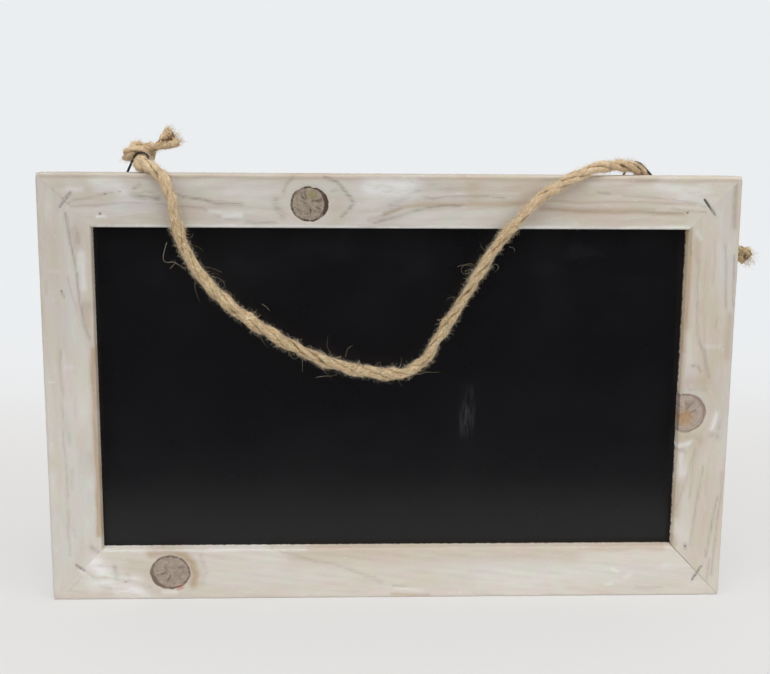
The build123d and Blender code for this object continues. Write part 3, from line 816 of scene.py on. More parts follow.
# White marks: chalk, and on the top rail one painted highlight
chalky = times(group, drawn["Z"], remap(group, chalking, 0.30, 0.58, 0.35, 1.0))
color = blendColor(group, chalky, color, blendColor(group, chalky, woodTones["chalk"], woodTones["white"]))
color = layer(group, color, woodTones["bare"], given.outputs["Edge"], 0.18)
color = layer(group, color, woodTones["white"], remap(group, fleck, 0.61, 0.74),
              remap(group, chalking, 0.45, 0.62, 0.2, 0.7))
hue = blendColor(group, remap(group, hue, 0.36, 0.64), woodTones["pinkish"], woodTones["greenish"])
color = blendColor(group, 1.0, color, hue, "MULTIPLY")
shade = calc(group, "MULTIPLY_ADD", fibre, 0.16, 0.935)
shade = times(group, shade, remap(group, dash, 0.22, 0.38, 0.91, 1.0))
# Brightness of the member, partly painted light
shade = times(group, shade, tone["X"])
color = addNode(group, "VectorMath", {"Vector": color, "Scale": shade}, operation="SCALE").outputs["Vector"]
color = layer(group, color, woodTones["hole"], given.outputs["Hole"], 0.9)
group.links.new(color, result.inputs["Color"])
height = calc(group, "MULTIPLY_ADD", fibre, 0.25, times(group, late, 0.2))
height = calc(group, "SUBTRACT", height, times(group, ragged, 0.4))
height = calc(group, "MULTIPLY_ADD", chalking, 0.4, height)
group.links.new(height, result.inputs["Height"])
pineFace = group

knotTones = {
    "heart": (0.21, 0.165, 0.125), "pale": (0.40, 0.335, 0.255), "soft": (0.53, 0.42, 0.36),
    "ring": (0.075, 0.042, 0.028), "faint": (0.20, 0.13, 0.10), "crack": (0.10, 0.075, 0.055),
    "halo": (0.53, 0.44, 0.33),
}
group, given, result = addGroup(
    "pineKnot",
    {"Place": "Vector", "Look": "Vector", "Patch": "Vector", "Patch Tone": "Vector"},
    {"Color": "Color", "Mask": "Float", "Halo": "Float", "Height": "Float"})
place = given.outputs["Place"]
part = parts(group, place)
look = parts(group, given.outputs["Look"])  # X ring, Y dark, Z thick
patch = parts(group, given.outputs["Patch"])
flat = joined(group, part["X"], part["Y"])
jolt = noise(group, vectorCalc(group, "MULTIPLY", place, (1.0, 1.0, 30.0)), 2.4, 3.0)
radius = vectorCalc(group, "LENGTH", flat)
radius = calc(group, "MULTIPLY_ADD", calc(group, "SUBTRACT", jolt, 0.5), 0.20, radius)
turn = calc(group, "ARCTAN2", part["Y"], part["X"])
spoke = joined(group, times(group, turn, 2.6), times(group, radius, 1.2), times(group, part["Z"], 40.0))
crack = noise(group, spoke, 1.0, 3.0, 0.6)
crack = times(group, remap(group, crack, 0.54, 0.62), remap(group, radius, 0.92, 0.4))
spotted = vectorCalc(group, "MULTIPLY", place, (1.0, 1.0, 50.0))
mottle = noise(group, spotted, 5.0, 5.0, 0.72)
speck = noise(group, spotted, 14.0, 3.0, 0.7)
yearRing = calc(group, "FRACT", calc(group, "MULTIPLY_ADD", mottle, 0.8, times(group, radius, 7.0)))
pale = blendColor(group, look["Y"], knotTones["soft"], knotTones["pale"])
color = layer(group, pale, knotTones["heart"], remap(group, mottle, 0.66, 0.34),
              calc(group, "MULTIPLY_ADD", look["Y"], 0.75, 0.2))
color = layer(group, color, knotTones["heart"], remap(group, yearRing, 0.6, 0.95), 0.22)
color = layer(group, color, knotTones["crack"], remap(group, speck, 0.58, 0.70), 0.35)
color = layer(group, color, woodTones["washed"], remap(group, speck, 0.44, 0.34), 0.35)
color = layer(group, color, knotTones["crack"], crack, calc(group, "MULTIPLY_ADD", look["Y"], 0.6, 0.25))
# One stained patch of the knot's own
near = vectorCalc(group, "DISTANCE", flat, joined(group, patch["X"], patch["Y"]))
near = calc(group, "DIVIDE", near, patch["Z"])
near = calc(group, "MULTIPLY_ADD", calc(group, "SUBTRACT", mottle, 0.5), 0.8, near)
blot = times(group, remap(group, near, 1.1, 0.35), 0.62)
color = blendColor(group, blot, color, given.outputs["Patch Tone"])
# Dark bark ring, broken and widest at one side
side = remap(group, calc(group, "COSINE", calc(group, "SUBTRACT", turn, look["Z"])), 0.35, 1.0)
inner = calc(group, "MULTIPLY_ADD", times(group, side, look["X"]), -0.11, 0.915)
step = calc(group, "SUBTRACT", radius, inner)
broken = noise(group, vectorCalc(group, "MULTIPLY", place, (1.0, 1.0, 70.0)), 6.5, 2.0)
broken = calc(group, "MAXIMUM", remap(group, broken, 0.32, 0.58, 0.25, 1.0), side)
rim = times(group, remap(group, step, -0.05, 0.01), remap(group, radius, 1.04, 0.985))
rim = times(group, times(group, rim, broken), look["X"])
color = blendColor(group, rim, color, blendColor(group, look["Y"], knotTones["faint"], knotTones["ring"]))
outer = times(group, blot, remap(group, radius, 1.25, 1.1))
halo = times(group, remap(group, radius, 2.1, 1.05), 0.5)
height = calc(group, "SUBTRACT", times(group, mottle, 0.6), calc(group, "MULTIPLY_ADD", rim, 0.8, crack))
group.links.new(color, result.inputs["Color"])
group.links.new(calc(group, "MAXIMUM", remap(group, radius, 1.04, 0.99), outer), result.inputs["Mask"])
group.links.new(halo, result.inputs["Halo"])
group.links.new(height, result.inputs["Height"])
pineKnot = group

woodMaterial, tree, shader = addMaterial("whitewashedPine")
face = useGroup(tree, pineFace, {
    "Grain": attribute(tree, "grain"), "Marks": attribute(tree, "marks"), "Tone": attribute(tree, "tone"),
    "Edge": attribute(tree, "edge", "Fac"), "Hole": attribute(tree, "hole", "Fac")})
knot = useGroup(tree, pineKnot, {
    "Place": attribute(tree, "knotPlace"), "Look": attribute(tree, "knotLook"),
    "Patch": attribute(tree, "knotPatch"), "Patch Tone": attribute(tree, "knotPatchTone")})
color = layer(tree, face["Color"], knotTones["halo"], knot["Halo"], 0.25)
color = blendColor(tree, knot["Mask"], color, knot["Color"])
height = calc(tree, "MULTIPLY_ADD", knot["Height"], knot["Mask"], face["Height"])
setSurface(tree, shader, color, 0.72, height, depth=0.0003, strength=0.6, Specular_IOR_Level=0.25)

for name, member in members.items():
    addMember(name, member, woodMaterial)
print("frame done")

# Black board paint: satin, faintly mottled, dusty near the top, chalk smears; bare brown hardboard behind

paint = {
    "black": (0.0072, 0.0067, 0.0080), "dust": (0.45, 0.45, 0.47), "chalk": (0.55, 0.55, 0.57),
    # Each smear: its middle in x and z, and the half width and half height where it fades from 0 to 1
    "smear": {"X": 0.0455, "Z": 0.113, "wide": (0.0062, 0.001), "high": (0.020, 0.006)},
    "smudge": {"X": 0.115, "Z": 0.208, "wide": (0.017, 0.003), "high": (0.009, 0.001)},
    "dust_from": (0.15, 0.21), "back": 0.0002,
}
hardboard = {"dark": (0.110, 0.066, 0.036), "light": (0.215, 0.138, 0.078), "cloud": (0.12, 0.08, 0.05)}


def chalkPatch(tree, part, patch):
    # 1 in the middle of a patch, falling to 0 at its edge both ways
    shares = []
    for axis, reach in (("X", "wide"), ("Z", "high")):
        away = calc(tree, "ABSOLUTE", calc(tree, "SUBTRACT", part[axis], patch[axis]))
        shares.append(remap(tree, away, *patch[reach]))
    return times(tree, *shares)


boardMaterial, tree, shader = addMaterial("boardPaint")
place = objectPlace(tree)
part = parts(tree, place)
grainy = noise(tree, place, 900.0, 2.0)
cloudy = drawnNoise(tree, place, (14.0, 14.0, 22.0), 4.0, 0.6)
smear = drawnNoise(tree, place, (420.0, 100.0, 60.0), 4.0, 0.65)
smear = times(tree, chalkPatch(tree, part, paint["smear"]), remap(tree, smear, 0.38, 0.72))
smudge = times(tree, chalkPatch(tree, part, paint["smudge"]), remap(tree, cloudy, 0.35, 0.6))
smear = calc(tree, "MULTIPLY_ADD", smudge, 0.22, smear)
dust = times(tree, remap(tree, cloudy, 0.40, 0.75), remap(tree, part["Z"], *paint["dust_from"], 0.25, 1.0))
color = layer(tree, paint["black"], paint["dust"], dust, 0.012)
color = layer(tree, color, paint["chalk"], smear, 0.075)
behind = calc(tree, "GREATER_THAN", part["Y"], paint["back"])
pressed = noise(tree, place, 320.0, 5.0, 0.75)
bare = blendColor(tree, remap(tree, pressed, 0.36, 0.64), hardboard["dark"], hardboard["light"])
bare = layer(tree, bare, hardboard["cloud"], cloudy, 0.3)
rough = calc(tree, "MULTIPLY_ADD", behind, 0.35, remap(tree, cloudy, 0.2, 0.8, 0.25, 0.32))
color = blendColor(tree, behind, color, bare)
setSurface(tree, shader, color, rough, grainy, depth=0.00004, strength=0.5, Specular_IOR_Level=0.37)

# Dull staples, half hidden by the wash, one with a dark spot; bright panel points; blackened wire

metals = {
    "dull": (0.30, 0.30, 0.275), "clean": (0.52, 0.50, 0.46), "spot": (0.085, 0.09, 0.065),
    "spot_place": (0.1795, -0.0095, 0.2375), "spot_reach": (0.0075, 0.002),
    "zinc": (0.44, 0.45, 0.46), "spangle": (0.60, 0.60, 0.60),
    "wire": (0.030, 0.028, 0.028), "wire_worn": (0.085, 0.060, 0.045),
}
stapleMaterial, tree, shader = addMaterial("stapleSteel")
place = objectPlace(tree)
spots = noise(tree, place, 1400.0, 4.0, 0.7)
color = blendColor(tree, remap(tree, spots, 0.42, 0.58), metals["dull"], metals["clean"])
near = remap(tree, vectorCalc(tree, "DISTANCE", place, metals["spot_place"]), *metals["spot_reach"])
color = layer(tree, color, metals["spot"], near, 0.85)
rough = remap(tree, spots, 0.3, 0.7, 0.50, 0.80)
setSurface(tree, shader, color, rough, spots, depth=0.00005, strength=0.6, Metallic=0.15)

pointMaterial, tree, shader = addMaterial("pointSteel")
spangle = addNode(tree, "TexVoronoi", {"Vector": objectPlace(tree), "Scale": 700.0}).outputs["Color"]
spangle = parts(tree, spangle)["X"]
color = blendColor(tree, spangle, metals["zinc"], metals["spangle"])
setSurface(tree, shader, color, remap(tree, spangle, 0.0, 1.0, 0.28, 0.45), Metallic=1.0)

wireMaterial, tree, shader = addMaterial("blackWire")
scale = noise(tree, objectPlace(tree), 2200.0, 4.0, 0.7)
color = blendColor(tree, remap(tree, scale, 0.45, 0.70), metals["wire"], metals["wire_worn"])
rough = remap(tree, scale, 0.3, 0.7, 0.38, 0.60)
setSurface(tree, shader, color, rough, scale, depth=0.00006, strength=0.6, Metallic=0.6)

fittings = {
    "staple": stapleMaterial, "point": pointMaterial, "eye": wireMaterial, "chalkboard": boardMaterial,
}
for name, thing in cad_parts.items():
    for kind, chosen in fittings.items():
        if kind in name:
            for slot in thing.material_slots:
                slot.material = chosen
print("fittings done")

# Rope: one route through both knots, in millimetres

rope = {
    "diameter": 8.0, "knot_diameter": 6.8, "grow_from": -4.0, "grow_over": 10.0, "step": 0.5,
    "pitch": 46.0, "strand_offset": 0.21, "strand_radius": 0.225, "oval": 1.12, "around": 20,
    "yarns": 5, "yarn_pitch": 19.0, "yarn_relief": 0.14,
    "roughness": 0.075, "rough_length": 2.6, "groove_at": 0.39, "groove_fade": 0.11,
    # Slow unevenness of the twist, of the strands' place, of their width and of the whole rope: share, length
    "twist": (0.05, 45.0), "loose": (0.17, 19.0), "fat": (0.11, 13.0), "lumps": (0.08, 26.0),
    # Shares of the width at the route's points, from the fourth on
    "first_width": 3,
    "widths": (0.98, 0.94, 0.91, 0.90, 0.89, 0.95, 1.03, 1.05, 0.85, 0.92, 1.0, 0.96, 0.83,
               0.87, 0.78, 0.79, 0.90, 0.85, 0.86, 0.92, 0.93, 0.93, 0.94, 0.90, 0.90, 0.96),
    "bulge": {"at": 12.0, "reach": 8.0, "more": 0.35},
    # Frayed ends: how far from the end the strands part, how much wider they get, and the way each one goes
    "left_fan": {"reach": 15.0, "swell": 0.55,
                 "ways": ((-2.6, 0.0, 3.3), (2.5, 0.0, -3.1), (0.3, 0.8, 0.0))},
    "right_fan": {"reach": 10.0, "swell": 1.0,
                  "ways": ((0.3, 0.2, 2.2), (-0.6, 0.2, -2.4), (0.6, -1.6, -0.2))},
}
stopper = {"ring": 6.4, "wave": 3.1, "cut": 24.0, "turns": 14}
# Points of the rope and its tails; each knot is its middle and the ways of its own x and z axes
routes = {
    "left_tail": [(-126.2, 19.0, 272.2), (-131.4, 19.4, 269.2), (-136.0, 20.0, 266.0)],
    "left_knot": ((-145.9, 22.0, 262.5), (0.752, -0.649, -0.112), (0.060, 0.238, -0.969)),
    "rope": [
        (-144.4, 11.6, 256.2), (-143.0, 4.4, 256.4), (-139.6, -3.6, 256.6), (-134.0, -10.8, 254.6),
        (-127.2, -15.6, 249.0), (-124.6, -16.4, 241.2), (-123.0, -15.6, 231.1), (-119.4, -15.2, 214.1),
        (-108.9, -15.0, 195.1), (-93.7, -15.0, 178.8), (-74.6, -15.0, 164.8), (-53.1, -15.2, 152.3),
        (-31.4, -15.4, 143.3), (-11.4, -15.6, 139.3), (3.6, -15.6, 137.9), (16.5, -15.4, 143.0),
        (25.1, -15.0, 157.1), (36.7, -14.8, 175.7), (48.3, -14.8, 195.2), (58.5, -15.0, 212.8),
        (70.6, -15.6, 227.1), (82.0, -16.2, 239.8), (95.0, -16.2, 247.8), (105.5, -13.8, 253.2),
        (116.0, -9.6, 257.0), (126.4, -3.6, 257.9), (135.6, 3.0, 257.3), (142.4, 9.4, 256.2),
        (147.2, 15.4, 253.2), (151.4, 18.6, 247.4), (157.0, 18.8, 239.2), (164.0, 18.8, 230.2),
        (173.0, 18.8, 223.2), (181.6, 18.6, 217.0),
    ],
    "right_knot": ((194.2, 19.1, 206.9), (0.068, -0.158, 0.985), (-0.545, -0.833, -0.095)),
    "right_tail": [(204.4, 18.0, 211.0), (208.8, 17.4, 207.0), (214.2, 17.0, 203.6)],
}


def knotPoints(origin, xWay, zWay):
    # Ring that winds twice round while it waves three times, opened at one wave:
    # (ring + wave * cos 3t) * (cos 2t, sin 2t), height wave * sin 3t
    xAxis = np.array(xWay) / np.linalg.norm(xWay)
    zAxis = np.array(zWay) - np.dot(zWay, xAxis) * xAxis
    zAxis /= np.linalg.norm(zAxis)
    axes = np.array([xAxis, np.cross(zAxis, xAxis), zAxis])
    opening = np.radians(stopper["cut"])
    t = opening + np.arange(stopper["turns"] + 1) * (2 * np.pi - 2 * opening) / stopper["turns"]
    reach = stopper["ring"] + stopper["wave"] * np.cos(3 * t)
    local = np.stack([reach * np.cos(2 * t), reach * np.sin(2 * t), stopper["wave"] * np.sin(3 * t)], -1)
    return np.array(origin) + local @ axes


def sampledRoute(points, spacing):
    # Even places along the smooth curve that the route's points shape
    curve = bpy.data.curves.new("route", "CURVE")
    curve.dimensions = "3D"
    spline = curve.splines.new("NURBS")
    spline.points.add(len(points) - 1)
    spline.points.foreach_set("co", np.c_[np.array(points) * mm, np.ones(len(points))].ravel())
    spline.order_u = 3
    spline.use_endpoint_u = True
    spline.resolution_u = 24
    thing = bpy.data.objects.new("route", curve)
    mesh = bpy.data.meshes.new_from_object(thing)
    dense = np.empty(len(mesh.vertices) * 3)
    mesh.vertices.foreach_get("co", dense)
    bpy.data.objects.remove(thing)
    bpy.data.meshes.remove(mesh)
    dense = dense.reshape(-1, 3) / mm
    reached = np.r_[0, np.cumsum(np.linalg.norm(np.diff(dense, axis=0), axis=1))]
    even = np.linspace(0, reached[-1], int(reached[-1] / spacing) + 1)
    return np.stack([np.interp(even, reached, dense[:, k]) for k in range(3)], -1), even


def carriedFrames(path):
    # Tangents and two cross directions that turn no more than the path does
    tangents = np.gradient(path, axis=0)
    tangents /= np.linalg.norm(tangents, axis=1)[:, None]
    sides = np.empty_like(path)
    side = np.cross(tangents[0], (0.0, 0.0, 1.0))
    for i, tangent in enumerate(tangents):
        side = side - side @ tangent * tangent
        side = side / np.linalg.norm(side)
        sides[i] = side
    return tangents, sides, np.cross(tangents, sides)


def slowly(kind, reached, seed):
    # The rope's unevenness of one kind along its length
    share, scale = rope[kind]
    return share * wander(reached[:, None], scale, seed)


def strandPaths(path, reached, thickness):
    # Three strands in a right-hand twist about the path, a little loose, that fan out at both ends:
    # path + offset * (cos angle * side + sin angle * up)
    tangents, sides, ups = carriedFrames(path)
    fans = ((rope["left_fan"], reached), (rope["right_fan"], reached[-1] - reached))
    strands = []
    for index in range(3):
        angle = 2 * np.pi * (reached / rope["pitch"] + index / 3 + slowly("twist", reached, index + 3))
        loose = 1 + slowly("loose", reached, index + 7)
        out = np.cos(angle)[:, None] * sides + np.sin(angle)[:, None] * ups
        shift = (rope["strand_offset"] * thickness * loose)[:, None] * out
        for fan, away in fans:
            spread = np.clip(1 - away / fan["reach"], 0, 1)[:, None] ** 1.3
            shift = shift * (1 - spread) + spread * np.array(fan["ways"][index])
        strands.append((path + shift, out))
    return strands


def strandMesh(path, center, out, reached, thickness, index, first, last, start):
    # Oval tube round one strand's own line, center + radius * (cos phi * side + oval * sin phi * other),
    # ribbed by yarns that twist the other way; groove is 1 where strands meet
    tangents = np.gradient(center, axis=0)
    tangents /= np.linalg.norm(tangents, axis=1)[:, None]
    side = out - np.sum(out * tangents, 1)[:, None] * tangents
    side /= np.linalg.norm(side, axis=1)[:, None]
    other = np.cross(tangents, side)
    around = rope["around"]
    phi = np.arange(around) * 2 * np.pi / around
    turned = phi[None, :] + 2 * np.pi * reached[:, None] / rope["yarn_pitch"]
    rib = 1 + rope["yarn_relief"] * (np.abs(np.cos(turned * rope["yarns"] / 2)) - 0.6)
    cosine, sine = np.cos(phi)[None, :], np.sin(phi)[None, :]
    grid = np.stack(np.broadcast_arrays(reached[:, None] / rope["rough_length"], cosine, sine), -1)
    rough = 1 + rope["roughness"] * wander(grid.reshape(-1, 3), 1.0, index + 21).reshape(rib.shape)
    fat = 1 + slowly("fat", reached, index + 31)
    radius = rope["strand_radius"] * (thickness * fat)[:, None] * rib * rough
    ring = cosine[:, :, None] * side[:, None] + rope["oval"] * sine[:, :, None] * other[:, None]
    verts = center[:, None, :] + radius[:, :, None] * ring
    depth = np.linalg.norm(verts - path[:, None, :], axis=2) / thickness[:, None]
    groove = np.clip((rope["groove_at"] - depth) / rope["groove_fade"], 0, 1)[first:last].ravel()
    lay = np.stack(np.broadcast_arrays(
        reached[:, None], turned, index + 0.5 * np.sin(reached[:, None] / 9)), -1)[first:last]
    end = start + (last - first - 1) * around
    faces = gridFaces(last - first, around, start)
    faces += [list(range(start, start + around))[::-1], list(range(end, end + around))]
    return verts[first:last].reshape(-1, 3), lay.reshape(-1, 3), groove, faces


def addStrands(name, path, strands, reached, thickness, first, last, material):
    verts, lays, grooves, faces, start = [], [], [], [], 0
    for index, strand in enumerate(strands):
        tube, lay, groove, quads = strandMesh(path, *strand, reached, thickness, index, first, last, start)
        verts.append(tube)
        lays.append(lay)
        grooves.append(groove)
        faces += quads
        start += len(tube)
    fields = {"lay": np.concatenate(lays), "groove": np.concatenate(grooves)}
    return addMesh(name, np.concatenate(verts) * mm, faces, material, fields, sharp=70.0)


fuzz = {"steps": 4, "length": (1.5, 4.8), "along": (0.6, 1.4), "away": (0.25, 1.0), "curl": 1.0,
        "thick": (0.04, 0.085)}
strays = {"steps": 8, "length": (4.0, 11.0), "along": (0.3, 1.2), "away": (0.3, 1.0), "curl": 1.7,
          "thick": (0.035, 0.055)}
fringe = {"count": 260, "steps": 5, "length": (1.0, 3.8), "core": 0.11, "spread": 0.35, "thick": (0.05, 0.10)}
# Fibres that start in front of the frame stay in front of it; all bend a little at random at each step
hairForm = {"start_front": -11.5, "stay_front": -11.6, "jitter": 0.10, "tip": 0.35}


def grownHairs(strands, thickness, first, last, hairs, rng):
    # Lines of loose fibres, one row each: they leave a strand's outside at a low angle and curl as they go
    count, steps = hairs["count"], hairs["steps"]
    centers, outs = (np.stack([strand[i] for strand in strands]) for i in (0, 1))
    which = rng.integers(3, size=count)
    at = rng.integers(first + 2, last - 2, size=count)
    out, along = outs[which, at], centers[which, at + 1] - centers[which, at - 1]
    along *= (rng.choice((-1, 1), size=count) / np.linalg.norm(along, axis=1))[:, None]
    away = out * rng.uniform(0.4, 1.0, (count, 1)) + np.cross(along, out) * rng.normal(0, 0.7, (count, 1))
    away /= np.linalg.norm(away, axis=1)[:, None]
    heading = along * rng.uniform(*hairs["along"], (count, 1))
    heading = heading + away * rng.uniform(*hairs["away"], (count, 1))
    length = rng.uniform(*hairs["length"], (count, 1))
    curl = rng.normal(0, hairs["curl"], (count, 3)) / length
    place = centers[which, at] + away * (rope["strand_radius"] * 0.9 * thickness[at])[:, None]
    inFront = place[:, 1] < hairForm["start_front"]
    lines = np.empty((count, steps, 3))
    for i in range(steps):
        lines[:, i] = place
        heading /= np.linalg.norm(heading, axis=1)[:, None]
        place = place + heading * length / (steps - 1)
        turning = rng.normal(0, hairForm["jitter"], (count, 3))
        heading = heading + np.cross(curl, heading) * length / (steps - 1) + turning
        tooFar = inFront & (place[:, 1] > hairForm["stay_front"])
        heading[:, 1] = np.where(tooFar, -np.abs(heading[:, 1]), heading[:, 1])
    return lines


def hairTubes(lines, radii, start):
    # Thin three-sided tube round each line, line + taper * (cos * side + sin * up), tapering to a third
    count, steps = lines.shape[:2]
    tangents = np.gradient(lines, axis=1)
    tangents /= np.linalg.norm(tangents, axis=2)[:, :, None]
    side = np.cross(tangents[:, 0], (0.31, 0.62, 0.72))
    sides = np.empty_like(lines)
    for i in range(steps):
        side = side - np.sum(side * tangents[:, i], 1)[:, None] * tangents[:, i]
        side /= np.linalg.norm(side, axis=1)[:, None]
        sides[:, i] = side
    ups = np.cross(tangents, sides)
    turns = (np.arange(3) * 2 * np.pi / 3)[None, None, :, None]
    taper = radii[:, None, None, None] * np.linspace(1.0, hairForm["tip"], steps)[None, :, None, None]
    verts = lines[:, :, None] + taper * (np.cos(turns) * sides[:, :, None] + np.sin(turns) * ups[:, :, None])
    first = start + np.arange(count)[:, None, None] * steps * 3
    last = steps * 3 - 3
    quads = (np.array(gridFaces(steps, 3))[None] + first).reshape(-1, 4).tolist()
    caps = (np.array([[2, 1, 0], [last, last + 1, last + 2]])[None] + first).reshape(-1, 3).tolist()
    return verts.reshape(-1, 3), quads + caps


def addHairs(name, batches, rng, material):
    # One mesh of all the fibres of a piece; each fibre has its own tint
    verts, faces, tints = [], [], []
    for lines, thick in batches:
        tubes, quads = hairTubes(lines, rng.uniform(*thick, len(lines)), sum(map(len, verts)))
        verts.append(tubes)
        faces += quads
        tints.append(np.repeat(rng.random(len(lines)), lines.shape[1] * 3))
    fields = {"tint": np.concatenate(tints)}
    return addMesh(name, np.concatenate(verts) * mm, faces, material, fields, sharp=180.0)


def fringeHairs(strands, thickness, end, inward, rng):
    # Lines of the frayed end: they start inside each strand's last ring and go on outwards, spreading
    count, steps, spread = fringe["count"], fringe["steps"], fringe["spread"]
    centers = np.stack([strand[0] for strand in strands])
    which = rng.integers(3, size=count)
    tangent = centers[which, end] - centers[which, inward]
    tangent /= np.linalg.norm(tangent, axis=1)[:, None]
    start = centers[which, end] + rng.normal(0, fringe["core"] * thickness[end], (count, 3))
    heading = tangent + rng.normal(0, spread, (count, 3))
    heading /= np.linalg.norm(heading, axis=1)[:, None]
    bend = rng.normal(0, spread, (count, 3))
    share = np.linspace(0, 1, steps)[None, :, None]
    length = rng.uniform(*fringe["length"], (count, 1, 1))
    return start[:, None] + length * share * (heading[:, None] + bend[:, None] * share)


# Jute: fibres along each yarn, painted shade where strands meet, patches of other tones, painted light high
# up over the frame

juteTones = {
    # The groove tone is painted shade between the strands
    "groove": (0.23, 0.14, 0.07), "mid": (0.62, 0.43, 0.21), "light": (0.86, 0.67, 0.41),
    "deep": (0.38, 0.235, 0.105), "pink": (0.76, 0.45, 0.26), "olive": (0.55, 0.44, 0.21),
    "fleck": (0.96, 0.86, 0.67), "faded": (0.98, 0.73, 0.50), "faded_from": (0.220, 0.240),
    "fibre_deep": (0.72, 0.53, 0.32), "fibre_light": (0.95, 0.87, 0.70),
}
ropeMaterial, tree, shader = addMaterial("juteRope")
lay = attribute(tree, "lay")
coarse = drawnNoise(tree, lay, (0.26, 1.5, 3.0), 3.0, 0.6)
fibre = drawnNoise(tree, lay, (0.55, 4.0, 3.0), 4.0, 0.65, (7.0, 1.0, 0.0))
fine = drawnNoise(tree, lay, (1.1, 13.0, 5.0), 3.0, 0.6)
blotch = drawnNoise(tree, lay, (0.13, 0.5, 2.3), 3.0, 0.6)
cloud = drawnNoise(tree, lay, (0.09, 0.6, 1.7), 3.0, 0.6, (40.0, 5.0, 0.0))
dashes = drawnNoise(tree, lay, (0.21, 0.3, 2.9), 3.0, 0.6, (13.0, 0.0, 0.0))
color = blendColor(tree, remap(tree, coarse, 0.36, 0.62), juteTones["mid"], juteTones["light"])
color = layer(tree, color, juteTones["pink"], remap(tree, blotch, 0.52, 0.66), 0.6)
color = layer(tree, color, juteTones["olive"], remap(tree, cloud, 0.52, 0.66), 0.6)
color = layer(tree, color, juteTones["deep"], remap(tree, fibre, 0.53, 0.62), 0.85)
color = layer(tree, color, juteTones["fleck"], remap(tree, fibre, 0.47, 0.38), 0.90)
color = layer(tree, color, juteTones["deep"], remap(tree, fine, 0.54, 0.68), 0.65)
# Painted light: the rope made lighter where it lies high, over the top rail, as if lit from above
height = parts(tree, objectPlace(tree))["Z"]
color = layer(tree, color, juteTones["faded"], remap(tree, height, *juteTones["faded_from"]), 0.35)
# Painted shade where the strands meet, broken into dashes
groove = times(tree, attribute(tree, "groove", "Fac"), remap(tree, dashes, 0.44, 0.56, 0.12, 1.0))
color = blendColor(tree, groove, color, juteTones["groove"])
height = calc(tree, "ADD", fibre, fine)
setSurface(tree, shader, color, 0.85, height, depth=0.00045, strength=0.9, Specular_IOR_Level=0.15)

hairMaterial, tree, shader = addMaterial("juteFibre")
color = blendColor(tree, attribute(tree, "tint", "Fac"), juteTones["fibre_deep"], juteTones["fibre_light"])
setSurface(tree, shader, color, 0.7, Specular_IOR_Level=0.2)

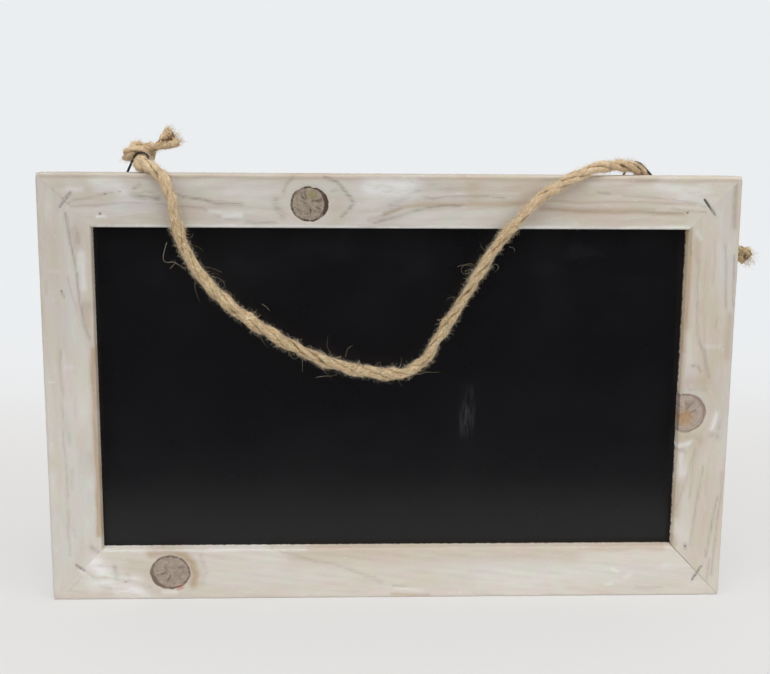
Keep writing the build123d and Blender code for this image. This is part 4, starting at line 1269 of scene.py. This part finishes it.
# Long fibres that stand off the rope, each a line of points
curlForm = {"spacing": 0.12, "steps": 14, "thick": (0.035, 0.065)}
curls = [
    [(-127.1, -14.1, 213.8), (-128.7, -14.3, 209.0), (-129.7, -14.4, 204.0), (-127.8, -14.2, 202.2),
     (-124.6, -14.0, 203.0), (-121.7, -13.7, 202.2), (-116.8, -13.4, 197.6)],
    [(-125.7, -14.1, 198.8), (-123.9, -14.4, 201.1), (-121.9, -14.2, 202.8), (-122.8, -13.8, 204.5),
     (-125.1, -13.4, 203.0)],
    [(-111.8, -14.1, 192.0), (-112.1, -14.4, 188.1), (-110.8, -14.0, 184.0), (-109.3, -13.4, 179.9)],
    [(-107.1, -14.1, 200.3), (-101.5, -14.2, 199.8), (-96.7, -13.4, 196.8)],
    [(-102.7, -14.1, 194.9), (-98.2, -14.4, 194.1), (-94.9, -14.0, 190.9), (-94.7, -13.4, 188.0)],
    [(-115.2, -14.1, 214.7), (-113.0, -14.4, 211.9), (-109.7, -14.0, 211.9), (-107.0, -13.4, 209.0)],
    [(-114.1, -14.1, 216.4), (-112.6, -14.2, 217.5), (-111.8, -13.4, 219.7)],
    [(-35.0, -14.0, 150.0), (-37.0, -14.4, 153.0), (-37.5, -14.0, 157.0), (-36.4, -13.4, 161.0)],
    [(-36.7, -14.1, 148.2), (-36.1, -14.4, 150.9), (-34.1, -14.0, 151.4), (-33.8, -13.4, 148.7)],
    [(-26.6, -14.1, 148.2), (-26.1, -14.4, 151.8), (-24.7, -14.0, 154.1), (-21.8, -13.4, 154.8)],
    [(-43.6, -14.1, 136.2), (-38.4, -14.4, 137.4), (-33.8, -14.0, 136.7), (-30.9, -13.4, 138.7)],
    [(-42.4, -14.1, 142.9), (-37.3, -14.2, 138.9), (-34.1, -13.4, 134.3)],
    [(-9.7, -14.1, 142.9), (-8.0, -14.4, 145.7), (-6.2, -14.0, 145.0), (-6.5, -13.4, 142.2)],
    [(4.8, -14.1, 142.9), (5.9, -14.2, 146.5), (5.3, -13.4, 148.1)],
    [(48.7, -14.1, 198.8), (46.3, -14.3, 202.2), (42.3, -14.4, 202.5), (39.2, -14.2, 200.5),
     (39.0, -14.0, 197.6), (41.7, -13.7, 195.5), (44.2, -13.4, 196.9)],
    [(47.0, -14.1, 197.6), (42.4, -14.4, 199.4), (41.0, -14.2, 197.3), (43.1, -13.8, 196.1),
     (45.3, -13.4, 198.1)],
    [(36.9, -14.1, 200.7), (40.6, -14.2, 202.3), (45.9, -13.4, 200.7)],
    [(54.8, -14.1, 206.8), (52.4, -14.4, 210.2), (49.8, -14.0, 211.9), (49.6, -13.4, 214.7)],
    [(66.1, -14.1, 212.0), (69.5, -14.2, 212.0), (70.0, -13.4, 208.5)],
    [(57.2, -14.1, 202.2), (60.0, -14.4, 202.3), (60.7, -14.0, 199.3), (58.5, -13.4, 197.6)],
    [(16.4, -14.1, 138.2), (20.4, -14.4, 139.8), (24.5, -14.0, 138.8), (28.6, -13.4, 139.6)],
    [(-74.9, -14.1, 159.3), (-73.5, -14.2, 156.4), (-71.0, -13.4, 153.1)],
    [(-51.0, -14.1, 147.6), (-51.6, -14.2, 143.6), (-51.4, -13.4, 139.3)],
    [(-58.5, -14.1, 150.0), (-56.8, -14.2, 145.9), (-54.5, -13.4, 147.2)],
    [(26.6, -14.1, 151.2), (23.7, -14.2, 154.1), (25.4, -13.4, 157.5)],
    [(-74.2, -14.1, 178.9), (-71.3, -14.2, 177.5), (-69.7, -13.4, 174.8)],
]

leftPart = routes["left_tail"] + knotPoints(*routes["left_knot"])[::-1].tolist()
rightPart = knotPoints(*routes["right_knot"]).tolist() + routes["right_tail"]
wholeRoute = leftPart + routes["rope"] + rightPart
path, reached = sampledRoute(wholeRoute, rope["step"])


def nearest(point):
    return int(np.argmin(np.linalg.norm(path - np.array(point), axis=1)))


ropeStart = nearest((np.array(wholeRoute[len(leftPart) - 1]) + wholeRoute[len(leftPart)]) / 2)
ropeEnd = nearest((np.array(routes["rope"][-1]) + rightPart[0]) / 2)
fromStart, toEnd = reached - reached[ropeStart], reached[ropeEnd] - reached
grown = 1.0
for away in (fromStart, toEnd):
    grown = grown * np.clip((away - rope["grow_from"]) / rope["grow_over"], 0, 1)
swell = rope["knot_diameter"] + (rope["diameter"] - rope["knot_diameter"]) * grown
bulge = rope["bulge"]["more"] * np.exp(-((fromStart - rope["bulge"]["at"]) / rope["bulge"]["reach"]) ** 2)
flare = 0.0
for fan, away in ((rope["left_fan"], reached), (rope["right_fan"], reached[-1] - reached)):
    flare = flare + fan["swell"] * np.clip(1 - away / fan["reach"], 0, 1)
measured = routes["rope"][rope["first_width"]:rope["first_width"] + len(rope["widths"])]
measured = [reached[nearest(point)] for point in measured]
swell *= np.interp(reached, measured, rope["widths"], left=1.0, right=1.0)
thickness = swell * (1 + bulge + flare + slowly("lumps", reached, 2))
strands = strandPaths(path, reached, thickness)
lastPlace = len(path) - 1
pieces = {
    "left_rope_knot": (0, ropeStart + 1, {"seed": 5, "fuzz": 1100, "strays": 18, "end": (0, 6)}),
    "rope": (ropeStart, ropeEnd + 1, {"seed": 11, "fuzz": 8800, "strays": 110}),
    "right_rope_knot": (ropeEnd, lastPlace + 1, {"seed": 17, "fuzz": 1100, "strays": 14,
                                                 "end": (lastPlace, lastPlace - 6)}),
}
for name, (first, last, hairs) in pieces.items():
    rng = np.random.default_rng(hairs["seed"])
    thing = addStrands(name, path, strands, reached, thickness, first, last, ropeMaterial)
    batches = []
    for kind, form in (("fuzz", fuzz), ("strays", strays)):
        lines = grownHairs(strands, thickness, first, last, dict(form, count=hairs[kind]), rng)
        batches.append((lines, form["thick"]))
    if "end" in hairs:
        batches.append((fringeHairs(strands, thickness, *hairs["end"], rng), fringe["thick"]))
    else:
        lines = [sampledRoute(points, curlForm["spacing"])[0] for points in curls]
        lines = [line[np.linspace(0, len(line) - 1, curlForm["steps"]).astype(int)] for line in lines]
        batches.append((np.array(lines), curlForm["thick"]))
    fluff = addHairs(name + "_fibres", batches, rng, hairMaterial)
    if name == "rope":
        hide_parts("rope_left_end", "rope_front_span", "rope_right_end")
        for piece in (thing, fluff):
            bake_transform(piece)
    else:
        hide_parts(name.replace("rope_", ""))
        for piece in (thing, fluff):
            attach(piece, "root")
print("rope done")
